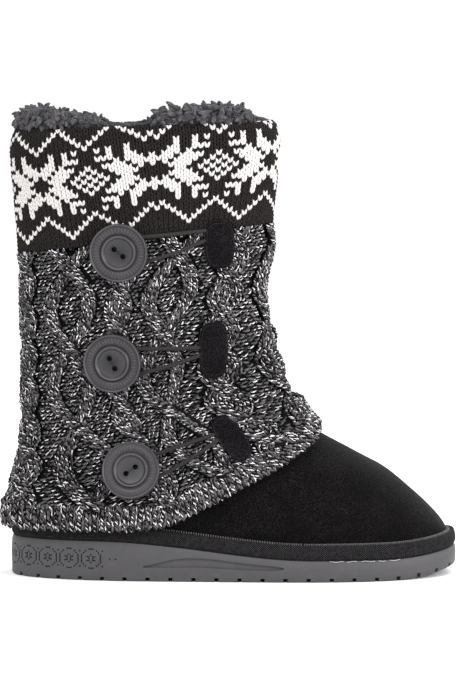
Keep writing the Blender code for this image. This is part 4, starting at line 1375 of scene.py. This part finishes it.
def heel_cells():
    """Engraved squares, counted in cells round from the heel's back and up from the band's middle."""
    cells = {(side * dot, 0) for dot in HEEL_DOTS for side in (-1, 1)}
    for flower in range(-HEEL_FLOWERS, HEEL_FLOWERS + 1):
        for r, line in enumerate(HEEL_CHART):
            for k, mark in enumerate(line):
                if mark == "#":
                    cells |= {(HEEL_PITCH * flower + side * k, len(HEEL_CHART) // 2 - r) for side in (-1, 1)}
    return sorted(cells)


def heel_cutter(finish):
    """Small blocks that engrave the band of flowers round the heel."""
    turn = np.linspace(math.pi, math.pi / 4, 400)
    run = outline_run(turn)
    points, faces = [], []
    half = HEEL_CELL * HEEL_SQUARE
    for place, height in heel_cells():
        first = len(points)
        for out in (RECESS_DEPTH, -HEEL_DEPTH):
            for across, up in ((-half, -half), (half, -half), (half, half), (-half, half)):
                distance = place * HEEL_CELL + across
                angle = math.copysign(float(np.interp(abs(distance), run, turn)), distance)
                x, y = sole_outline(angle, -out)
                points.append((float(x), float(y), HEEL_HEIGHT + height * HEEL_CELL + up))
        faces += [[first + k for k in quad] for quad in BLOCK_FACES]
    return outward(new_object("heel_ornament", np.asarray(points) + SHIFT, faces, finish))


def build_glue_line(finish):
    """Thin pale traces of glue where the tape meets the rubber, on the outer side of the forefoot."""
    lines = []
    for start, stop in GLUE_TRACES:
        places = np.linspace(start, stop, 9) * SOLE_LENGTH
        angles = np.array([angle_at(place, -1) for place in places])
        x, y = sole_outline(angles, -0.00005)
        z = rubber_top(x) + GAP / 2 + 0.00025 * np.sin(places * 900)
        lines.append(np.stack((x, y, z), axis=-1))
    return new_object("glue_line", *capsules(np.asarray(lines), GLUE_RADIUS), finish)


def build_outsole(finish, shade_finish):
    """Rubber unit with lugs, side recesses and a shallow ornament at the heel, whose engraved faces are
    painted darker as painted shade.
    """
    angles = even_sole_angles(240)
    rings = []
    for share, inset, low in SOLE_PROFILE:
        x, y = sole_outline(angles, inset)
        z = mix(ground_height(x), rubber_top(x), share) + low
        rings.append(np.stack((x, y, z), axis=-1))
    made = plate("rubber_sole", rings, finish)
    made.data.materials.append(shade_finish)
    cutters = [*lug_grooves(finish), recess_cutter(1, finish), recess_cutter(-1, finish)]
    cutters.append(heel_cutter(shade_finish))
    return sharpen(cut_away(made, cutters), 35)


def build_edge_stitches(finish):
    """Overlock stitches where the tape meets the suede."""
    angles = even_sole_angles(420)
    x, y = sole_outline(angles, 0.62 * FEATHER_INSET)
    foot = np.stack((x, y, feather_height(x) + 0.16 * FEATHER_INSET), axis=-1)
    top = off_last(np.full_like(angles, 0.0022), angles, np.full_like(angles, 0.0004))
    middle = mix(foot, top, 0.5) + np.array((0.0, 0.0, 0.0006))
    lines = np.stack((foot, middle, top), axis=1)
    return new_object("edge_stitches", *capsules(lines, EDGE_THREAD_RADIUS), finish)


def build_insole(finish):
    """Footbed inside the upper."""
    out = -(UPPER_WALL + 2 * GAP)
    bevel = INSOLE_THICKNESS / 4
    angles = turns(160)
    rings = [
        off_last(np.full_like(angles, level), angles, np.full_like(angles, out - inset))
        for level, inset in ((GAP, 0.0), (INSOLE_THICKNESS - bevel, 0.0), (INSOLE_THICKNESS, bevel))
    ]
    return plate("fleece_footbed", rings, finish)


# Fleece


def fleece_swell(angle):
    """Fullness of the fleece: flat in front, and pulled in at the two side seams."""
    away = np.abs(signed(angle))
    swell = np.ones_like(away)
    for place, spread_angle, more in FLEECE_SWELLS:
        swell = swell * (1 + more * np.exp(-(((away - place) / spread_angle) ** 4)))
    return swell * (1 + 0.07 * np.sin(3 * angle + 0.6) + 0.06 * np.sin(7 * angle))


# Profile of the fleece's body: place along it, out from its inner face, share of its rise.
FLEECE_PROFILE = (
    (0.0, 1.00, 0.00),
    (1.0, 1.04, 0.28),
    (2.0, 0.93, 0.68),
    (3.0, 0.62, 0.92),
    (4.0, 0.22, 0.85),
    (5.0, -0.04, 0.42),
    (6.0, 0.02, 0.00),
)
LOCKS = 3050
LOCK_SIDES = 5
LOCK_STATIONS = np.array((0.0, 0.25, 0.5, 0.75, 0.93, 1.0))
LOCK_GUIDE = (0.31, 0.44, 0.84)
LOCK_THICK = np.array((0.0009, 0.0013, 0.0013, 0.0011, 0.0006, 0.0))


def fleece_body(place, angle):
    """A point of the fleece's lumpy body over the rim. Past its profile it goes down inside the leg."""
    _, out, up = np.moveaxis(rows_at(FLEECE_PROFILE, place), -1, 0)
    up = up - np.maximum(0.0, place - FLEECE_PROFILE[-1][0]) * 1.4
    lumps = np.sin(29 * angle + 1.3 * place) * np.sin(17 * angle - 0.9 * place + 1)
    lumps = lumps + 0.6 * np.sin(43 * angle - 1.9 * place + 2)
    swell = fleece_swell(angle) * (1 + 0.13 * lumps)
    wall_in = -(UPPER_WALL + GAP) - LINING_WALL
    reach = (knit_out(collar_level(angle), angle) - 3.0 * FLEECE_SETBACK) * np.minimum(1.0, swell)
    level = collar_level(angle) + GAP + up * LINING_RISE * 0.86 * swell
    return off_last(level, angle, mix(wall_in, reach, out))


def build_fleece_body(finish):
    """Body of the lining: down inside the collar and over its rim."""
    angles = turns(200)
    wall_out = -(UPPER_WALL + GAP)
    wall_in = wall_out - LINING_WALL
    rings = []
    for drop in (LINING_DEPTH, 0.5 * LINING_DEPTH, -GAP):
        rings.append(off_last(collar_level(angles) - drop, angles, np.full_like(angles, wall_out)))
    for place in np.linspace(0.0, FLEECE_PROFILE[-1][0], 19):
        rings.append(fleece_body(np.full_like(angles, place), angles))
    for drop in np.linspace(0.03, 1.0, 40) * LINING_DEPTH:
        nap = 0.0007 * np.sin(61 * angles + 900 * drop) * np.sin(47 * angles - 1300 * drop)
        rings.append(off_last(collar_level(angles) - drop, angles, wall_in + nap))
    return tube_shell("fleece_body", rings, finish)


def build_fleece_locks(finish):
    """Short curved locks that lie and stand on the fleece in clumps."""
    rng = np.random.default_rng(SEED + 4)
    angle = rng.uniform(-math.pi, math.pi, LOCKS)
    place = rng.uniform(0.7, 7.4, LOCKS)
    root = fleece_body(place, angle)
    ahead = unit(fleece_body(place + 0.05, angle) - root)
    beside = unit(fleece_body(place, angle + 0.01) - root)
    normal = unit(np.cross(beside, ahead))
    core = off_last(collar_level(angle), angle, np.full_like(angle, -0.003))
    normal = normal * np.sign(np.sum(normal * (root - core), axis=-1))[:, None]
    clump = 2.6 * np.sin(19 * angle + 1.7 * place) + 1.9 * np.sin(37 * angle - 1.1 * place)
    swirl = clump + rng.normal(0, 0.32, LOCKS)
    lean = ahead * np.sin(swirl)[:, None] + beside * np.cos(swirl)[:, None]
    bend = ahead * np.cos(swirl)[:, None] - beside * np.sin(swirl)[:, None]
    bend = bend * rng.uniform(-0.55, 0.55, LOCKS)[:, None]
    stand = rng.uniform(0.10, 0.42, LOCKS)[:, None, None]
    length = rng.uniform(0.0060, 0.0105, LOCKS) * np.clip(fleece_swell(angle), 0.22, 1.0)
    length = length * np.clip(1.25 - 0.9 * (place < 1.3), 0.55, 1.0)
    t = LOCK_STATIONS[None, :, None]
    rise = normal[:, None] * (stand * t * (1.4 - 0.75 * t) - 0.10)
    lines = root[:, None] + length[:, None, None] * (rise + lean[:, None] * 0.75 * t + bend[:, None] * t**2)
    full = LOCK_THICK[None] * np.clip(length / 0.0065, 0.5, 1.25)[:, None]
    turn = turns(LOCK_SIDES)
    rings, along = ringed(lines, LOCK_GUIDE, full, full, turn)
    tufts = tubes(rings[:, :-1], lines[:, 0] - along[:, 0] * LOCK_THICK[0], lines[:, -1])
    made = new_object("fleece_locks", *tufts, finish)
    mark_plies(made, turn, LOCK_STATIONS[:-1], rng.random(LOCKS))
    return made


# Buttons, loops and tabs


def whole_skin(cuff, shaft):
    """Both knit faces as one tree of triangles that rays can hit."""
    trees = []
    for skin in (cuff, shaft):
        count, reach = skin.points.shape[:2]
        points = np.moveaxis(skin.points, 1, 0).reshape(-1, 3)
        trees.append(BVHTree.FromPolygons(points.tolist(), grid_faces(reach, count).tolist()))
    return trees


def skin_place(trees, x, z):
    """The outer side's place at a distance from the heel and a height."""
    hits = [tree.ray_cast(Vector((x, -SOLE_WIDTH, z)), Vector((0, 1, 0)))[0] for tree in trees]
    return min((hit for hit in hits if hit), key=lambda hit: hit.y)


def skin_normal(trees, x, z):
    fore = skin_place(trees, x + SKIN_STEP, z) - skin_place(trees, x - SKIN_STEP, z)
    rise = skin_place(trees, x, z + SKIN_STEP) - skin_place(trees, x, z - SKIN_STEP)
    return fore.cross(rise).normalized()


def over_skin(trees, x, z, height):
    return skin_place(trees, x, z) + skin_normal(trees, x, z) * height


def skin_frame(trees, x, z):
    """A frame on the outer side: its X runs forward, its Y up the shaft and its Z outward."""
    normal = skin_normal(trees, x, z)
    forward = Vector((1, 0, 0))
    forward = (forward - normal * forward.dot(normal)).normalized()
    frame = Matrix((forward, normal.cross(forward), normal)).transposed().to_4x4()
    frame.translation = skin_place(trees, x, z)
    return frame


def button_stand(trees, frame, x, z):
    stand = 0.0
    for reach in (0.5 * BUTTON_RADIUS, BUTTON_RADIUS):
        for turn in turns(12):
            place = skin_place(trees, x + reach * math.cos(turn), z + reach * math.sin(turn))
            stand = max(stand, (place - frame.translation).dot(frame.col[2].to_3d()))
    return stand


# Face of a button, from the middle out: share of its radius, height over the ring band, lightness. The
# lightness is painted light: high on the raised rings as painted highlight, low in the grooves as painted
# shade.
BUTTON_FACE = (
    (0.00, -0.0008, 0.45),
    (0.44, -0.0008, 0.45),
    (0.47, -0.0007, 0.15),
    (0.50, -0.0004, 0.10),
    (0.525, 0.0003, 0.75),
    (0.55, 0.0006, 0.85),
    (0.575, 0.0006, 0.75),
    (0.60, 0.0002, 0.20),
    (0.625, -0.0004, 0.0),
    (0.655, -0.0004, 0.05),
    (0.68, 0.0, 0.35),
    (0.78, 0.0001, 0.38),
    (0.89, 0.0, 0.30),
    (0.915, 0.0, 0.05),
    (0.94, 0.0006, 0.60),
    (0.965, 0.0007, 0.90),
    (0.985, 0.0003, 0.70),
    (1.00, -0.0005, 0.40),
)
# Back edge of a button, from the outside in: inset, height.
BUTTON_BACK = ((0.0, 0.0008), (0.0003, 0.0002), (0.0009, 0.0))
# Painted shade of the back edge and shank, darker than the face.
BUTTON_BACK_LIGHT = 0.3
BUTTON_SIDES = 224
BUTTON_EDGE = 0.0003
DISH_DEPTH = 0.0007
HOLE_MOUTH = 1.25
BUTTON_TICKS = 44
TICK_RADIUS = 0.00042
# Ends of every second tick and of those between, as shares of the button's radius
TICK_ENDS = ((0.73, 0.83), (0.70, 0.86))


def circle(frame, middle, radius, height, count):
    """Points of a circle round a place on a frame, at a height over it."""
    rim = [Vector((radius * math.cos(a), radius * math.sin(a), height)) for a in turns(count)]
    return [tuple(frame @ (middle + point)) for point in rim]


def button_mesh(name, frame, back, turned, finish, shade_finish):
    """Two-hole button: raised edge, a plain ring band, a raised inner ring and a flat dish."""
    front = back + BUTTON_THICKNESS - BUTTON_EDGE
    profile = [(share * BUTTON_RADIUS, front + height, light) for share, height, light in BUTTON_FACE[1:]]
    profile += [(BUTTON_RADIUS - inset, back + height, BUTTON_BACK_LIGHT) for inset, height in BUTTON_BACK]
    profile += [(SHANK_RADIUS, height, BUTTON_BACK_LIGHT) for height in (back, 0.0)]
    around, rows = BUTTON_SIDES, len(profile)
    points = [tuple(frame @ Vector((0, 0, front + BUTTON_FACE[0][1])))]
    for radius, height, _ in profile:
        points += circle(frame, Vector(), radius, height, around)
    points.append(tuple(frame.translation))
    faces = [(0, 1 + k, 1 + (k + 1) % around) for k in range(around)]
    for a in range(1, 1 + (rows - 1) * around, around):
        b = a + around
        faces += [(a + k, b + k, b + (k + 1) % around, a + (k + 1) % around) for k in range(around)]
    hub, foot = len(points) - 1, 1 + (rows - 1) * around
    faces += [(foot + (k + 1) % around, foot + k, hub) for k in range(around)]
    mesh = bpy.data.meshes.new(name)
    mesh.from_pydata([tuple(Vector(point) + Vector(SHIFT)) for point in points], [], faces)
    mesh.shade_smooth()
    mesh.materials.append(finish)
    made = bpy.data.objects.new(name, mesh)
    bpy.context.scene.collection.objects.link(made)
    lights = np.repeat([light for _, _, light in profile], around)
    set_attribute(made, "relief", np.concatenate(([BUTTON_FACE[0][2]], lights, [BUTTON_BACK_LIGHT])))
    outward(made)
    line = Vector((math.cos(math.radians(turned)), math.sin(math.radians(turned)), 0))
    reach = line * BUTTON_HOLE_SPACING / 2
    # The holes and the thread groove take the near-black finish, painted shade.
    cutters = [hole_cutter(frame, side * reach, back, front, shade_finish) for side in (-1, 1)]
    cutters.append(groove_cutter(frame, line, front, shade_finish))
    return sharpen(cut_away(made, cutters), 42)


def hole_cutter(frame, middle, back, front, finish):
    """Cutter of one round hole with a widened mouth."""
    mouth = front - DISH_DEPTH
    wide = BUTTON_HOLE_RADIUS * HOLE_MOUTH
    profile = (
        (BUTTON_HOLE_RADIUS, back - 0.001),
        (BUTTON_HOLE_RADIUS, mouth - 0.0004),
        (wide, mouth + 0.0001),
        (wide, front + 0.002),
    )
    return plate("hole", [circle(frame, middle, radius, height, 24) for radius, height in profile], finish)


def groove_cutter(frame, line, front, finish):
    """Cutter of the shallow thread groove between the two holes."""
    aside = Vector((-line.y, line.x, 0)) * 0.0004
    reach = line * BUTTON_HOLE_SPACING / 2
    points = []
    for height in (front - DISH_DEPTH - 0.0003, front + 0.002):
        for corner in (-reach - aside, reach - aside, reach + aside, -reach + aside):
            points.append(tuple(frame @ (corner + Vector((0, 0, height))) + Vector(SHIFT)))
    return outward(new_object("groove", points, BLOCK_FACES, finish))


def build_ticks(name, frame, front, finish):
    """Generic short raised ticks round the button's ring band, in place of any lettering."""
    lines = []
    for k, angle in enumerate(turns(BUTTON_TICKS)):
        inner, outer = TICK_ENDS[k % 2]
        direction = Vector((math.cos(angle), math.sin(angle), 0)) * BUTTON_RADIUS
        shares = (inner, (inner + outer) / 2, outer)
        lines.append([tuple(frame @ (direction * share + Vector((0, 0, front)))) for share in shares])
    points, faces = capsules(np.asarray(lines), TICK_RADIUS)
    made = new_object(name, points, faces, finish)
    # Painted highlight on the raised ticks.
    set_attribute(made, "relief", np.full(len(points), 0.75))
    return made


def smooth_route(points, spacing):
    """Points along a smooth curve through the route's own points, about a spacing apart."""
    points = np.asarray(points, float)
    run = []
    steps = 24
    for i in range(len(points) - 1):
        before, a, b, after = (points[min(max(n, 0), len(points) - 1)] for n in range(i - 1, i + 3))
        for k in range(steps):
            t = k / steps
            bend = (2 * before - 5 * a + 4 * b - after) * t**2 + (3 * a - before - 3 * b + after) * t**3
            run.append(0.5 * (2 * a + (b - before) * t + bend))
    run.append(points[-1])
    run = np.asarray(run)
    length = np.concatenate(([0.0], np.cumsum(np.linalg.norm(np.diff(run, axis=0), axis=1))))
    wanted = np.linspace(0.0, length[-1], round(length[-1] / spacing) + 1)
    return np.stack([np.interp(wanted, length, run[:, axis]) for axis in range(2)], axis=-1)


def tab_place(x, z, lean, across, along):
    turn = math.radians(lean)
    dx = across * math.cos(turn) - along * math.sin(turn)
    dz = across * math.sin(turn) + along * math.cos(turn)
    return np.array((x + dx, z + dz))


def strand_end(x, z, width, length, lean, share):
    edge = width / 2 * (1 - abs(2 * share) ** TAB_SQUARENESS) ** (1 / TAB_SQUARENESS)
    return tab_place(x, z, lean, -edge + 0.001, share * length)


LOOP_LIFT = 0.0006


def build_loop(trees, name, x, z, upper_end, lower_end, finish):
    """Elastic cord from the tab, round behind the button and back to the tab."""
    middle = np.array((x, z))
    side = SHANK_RADIUS + 4 * GAP + LOOP_DIAMETER / 2
    upper, lower = np.array((0.45 * side, LOOP_HALF)), np.array((0.45 * side, -LOOP_HALF))
    route = [
        upper_end,
        mix(middle + upper, upper_end, 0.5),
        middle + upper,
        middle + np.array((-0.55 * side, 0.80 * LOOP_HALF)),
        middle + np.array((-side, 0.0)),
        middle + np.array((-0.55 * side, -0.80 * LOOP_HALF)),
        middle + lower,
        mix(middle + lower, lower_end, 0.5) + np.array((0, -LOOP_SAG)),
        lower_end,
    ]
    height = LOOP_DIAMETER / 2 + 1.5 * GAP + LOOP_LIFT
    places = [tuple(over_skin(trees, px, pz, height)) for px, pz in smooth_route(route, 0.6 * LOOP_DIAMETER)]
    places = np.asarray(places)
    for _ in range(6):
        places[1:-1] = 0.5 * places[1:-1] + 0.25 * (places[:-2] + places[2:])
    return new_object(name, *capsules(places[None], LOOP_DIAMETER / 2, sides=14), finish)


# Profile of a tab, from its lower edge up: share of its size, share of its thickness.
TAB_PROFILE = (
    (0.985, 0.0),
    (1.0, 0.5),
    (1.0, 0.72),
    (0.98, 0.88),
    (0.945, 0.96),
    (0.915, 0.94),
    (0.88, 0.87),
    (0.84, 0.94),
    (0.72, 1.02),
    (0.40, 1.06),
    (0.12, 1.06),
)
TAB_SIDES = 72
TAB_STITCHES = 36
TAB_SEAM = 0.88
TAB_THREAD_RADIUS = 0.00028
# Heights of a stitch along its length, as shares of the tab's thickness
TAB_STITCH_HEIGHTS = tuple(0.90 + rise / TAB_THICKNESS for rise in (-0.0001, 0.0002, -0.0001))


def over_tab(trees, tab, share, angle, height):
    """A point over a tab. Share is the way to its edge, height a share of its thickness."""
    x, z, width, length, lean = tab
    c, s = math.cos(angle), math.sin(angle)
    across = share * width / 2 * math.copysign(abs(c) ** (2 / TAB_SQUARENESS), c)
    along = share * length / 2 * math.copysign(abs(s) ** (2 / TAB_SQUARENESS), s)
    px, pz = tab_place(x, z, lean, across, along)
    return tuple(over_skin(trees, px, pz, 2 * GAP + height * TAB_THICKNESS))


def build_tab(trees, name, tab, finish):
    """Padded suede patch that follows the knit, with a stitched dip near its edge."""
    rings = []
    for share, height in TAB_PROFILE:
        rings.append([over_tab(trees, tab, share, angle, height) for angle in turns(TAB_SIDES)])
    return plate(name, rings, finish)


def tab_stitches(trees, tab):
    """Lines of the tab's edge stitching."""
    lines = []
    for k in range(TAB_STITCHES):
        angles = [2 * math.pi * (k + part) / TAB_STITCHES for part in (0.12, 0.5, 0.88)]
        lines.append([over_tab(trees, tab, TAB_SEAM, a, h) for a, h in zip(angles, TAB_STITCH_HEIGHTS)])
    return lines


def build_closures(trees, finishes):
    """Three rows of button, elastic loop and tab on the outer side."""
    stitches = []
    for name, bx, bz, tx, tz, width, length, lean, upper, lower, turned in CLOSURES:
        x, z = bx * SOLE_LENGTH, bz * SEAM_HEIGHT
        tab = (tx * SOLE_LENGTH, tz * SEAM_HEIGHT, width * TAB_WIDTH, length * TAB_LENGTH, lean)
        frame = skin_frame(trees, x, z)
        back = SHANK_HEIGHT + button_stand(trees, frame, x, z)
        button = button_mesh(f"{name}_button", frame, back, turned, finishes["button"], finishes["hole"])
        stands_for(button, "button", f"button_{name}")
        front = back + BUTTON_THICKNESS - BUTTON_EDGE
        stands_for(build_ticks(f"{name}_button_ticks", frame, front, finishes["button"]), "button")
        ends = (strand_end(*tab, upper), strand_end(*tab, lower))
        loop = build_loop(trees, f"{name}_loop", x, z, *ends, finishes["cord"])
        stands_for(loop, "elastic", f"loop_{name}")
        stands_for(build_tab(trees, f"{name}_tab", tab, finishes["tab"]), "suede", f"tab_{name}")
        stitches += tab_stitches(trees, tab)
    threads = capsules(np.asarray(stitches), TAB_THREAD_RADIUS)
    stands_for(new_object("tab_stitches", *threads, finishes["thread"]), "suede")


# Stage


CAMERA_PLACE = (0.1318, -2.2, 0.31)
CAMERA_TARGET = (0.1318, 0.0, 0.136)
CAMERA_LENS = 191.0
FLOOR_REACH = 40.0


def add_camera():
    camera = bpy.data.cameras.new("camera")
    camera.lens = CAMERA_LENS
    camera.sensor_width = 36.0
    camera.clip_end = 50.0
    made = bpy.data.objects.new("camera", camera)
    bpy.context.scene.collection.objects.link(made)
    place, target = Vector(CAMERA_PLACE) + Vector(SHIFT), Vector(CAMERA_TARGET) + Vector(SHIFT)
    made.location = place
    made.rotation_euler = (target - place).to_track_quat("-Z", "Y").to_euler()
    bpy.context.scene.camera = made


def add_light(name, place, target, size, power):
    light = bpy.data.lights.new(name, "AREA")
    light.shape = "DISK"
    light.size = size
    light.energy = power
    made = bpy.data.objects.new(name, light)
    bpy.context.scene.collection.objects.link(made)
    made.location = place
    made.rotation_euler = (Vector(target) - Vector(place)).to_track_quat("-Z", "Y").to_euler()


def add_stage():
    """Pale floor that fades into a pale surround, and soft lights."""
    made, tree, shader = new_material("floor", (0.93, 0.93, 0.93), 0.9)
    paint(tree, shader, noise(tree, 30.0), (0.925, 0.925, 0.925), (0.935, 0.935, 0.935), 0.0)
    corners = [(-FLOOR_REACH, -FLOOR_REACH, 0), (FLOOR_REACH, -FLOOR_REACH, 0)]
    corners += [(FLOOR_REACH, FLOOR_REACH, 0), (-FLOOR_REACH, FLOOR_REACH, 0)]
    floor = new_object("floor", corners, [(0, 1, 2, 3)], made)
    world = bpy.data.worlds.new("studio")
    world.use_nodes = True
    world.node_tree.nodes["Background"].inputs["Color"].default_value = (1.0, 1.0, 1.0, 1.0)
    world.node_tree.nodes["Background"].inputs["Strength"].default_value = 1.12
    bpy.context.scene.world = world
    bpy.context.scene.view_settings.view_transform = "Standard"
    middle = (0.0, 0.0, 0.12)
    add_light("key", (-0.7, -1.5, 1.7), middle, 1.0, 22.0)
    add_light("fill", (1.5, -0.9, 0.8), middle, 1.0, 24.0)
    add_light("rim", (0.8, 1.2, 1.2), middle, 0.8, 14.0)


sole_edge = np.stack((*sole_outline(turns(CAD_SOLE_COLUMNS), -GAP), np.zeros(CAD_SOLE_COLUMNS)), axis=-1)
SHIFT = np.array(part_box("outsole")[0], float) - sole_edge.min(axis=0)


def main():
    add_camera()
    add_stage()
    cuff = cuff_skin()
    shaft, lengths = shaft_skin()
    black_suede = suede("vamp_suede", (0.0012, 0.0010, 0.0011), (0.019, 0.0165, 0.0175))
    # Near-black wool of the walls and cores behind the knit: painted shade for the gaps between stitches.
    shade_wool = wool("painted_shade_ground", (0.003, 0.003, 0.003), (0.008, 0.008, 0.008), 0.02)
    white_wool = wool("pattern_wool", (0.46, 0.445, 0.435), (0.74, 0.715, 0.70), 0.12)
    black_wool = wool("cuff_wool", (0.0045, 0.0036, 0.0036), (0.030, 0.0250, 0.0250), 0.04)
    edge_thread = wool("edge_thread", (0.04, 0.04, 0.04), (0.15, 0.145, 0.155), 0.05)
    dried_glue = wool("dried_glue", (0.35, 0.35, 0.35), (0.55, 0.55, 0.55), 0.0)
    marled = marled_wool("marled_wool")
    fleece = fleece_wool("fleece")
    grey_rubber = rubber("sole_rubber", 0.057)
    # Far darker rubber for the faces cut by the heel ornament: painted shade in the engraved lines.
    engraving_shade_rubber = rubber("engraving_painted_shade", 0.012)

    stands_for(build_cuff_back(shade_wool), "pattern_knit", "knit_cuff")
    for made in build_cuff_stitches(cuff, white_wool, black_wool):
        stands_for(made, "pattern_knit")
    stands_for(build_shaft_back(shade_wool), "cable_knit", "knit_shaft")
    for made in build_strands(shaft, lengths, marled):
        stands_for(made, "cable_knit")
    stands_for(build_strand_cores(shaft, lengths, shade_wool), "cable_knit")
    stands_for(build_purl_ground(shaft, lengths, marled), "cable_knit")
    stands_for(build_rib_band(shaft, lengths, marled), "cable_knit")
    stands_for(build_upper(black_suede, fleece), "suede", "upper")
    stands_for(build_midsole(textile_band("twill_tape")), "textile_band", "midsole")
    stands_for(build_outsole(grey_rubber, engraving_shade_rubber), "rubber", "outsole")
    stands_for(build_edge_stitches(edge_thread), "textile_band")
    stands_for(build_glue_line(dried_glue), "textile_band")
    stands_for(build_insole(fleece), "fleece", "insole")
    stands_for(build_fleece_body(fleece), "fleece", "collar_lining")
    stands_for(build_fleece_locks(fleece), "fleece")
    finishes = {
        "button": button_plastic("button_plastic"),
        "cord": elastic_cord("elastic"),
        "tab": suede("tab_suede", (0.0020, 0.0017, 0.0020), (0.026, 0.0225, 0.026)),
        "thread": wool("tab_thread", (0.006, 0.0055, 0.006), (0.030, 0.028, 0.030), 0.0),
        # Near-black rubber for the buttons' holes and thread groove: painted shade.
        "hole": rubber("button_hole_painted_shade", 0.004),
    }
    build_closures(whole_skin(cuff, shaft), finishes)


main()
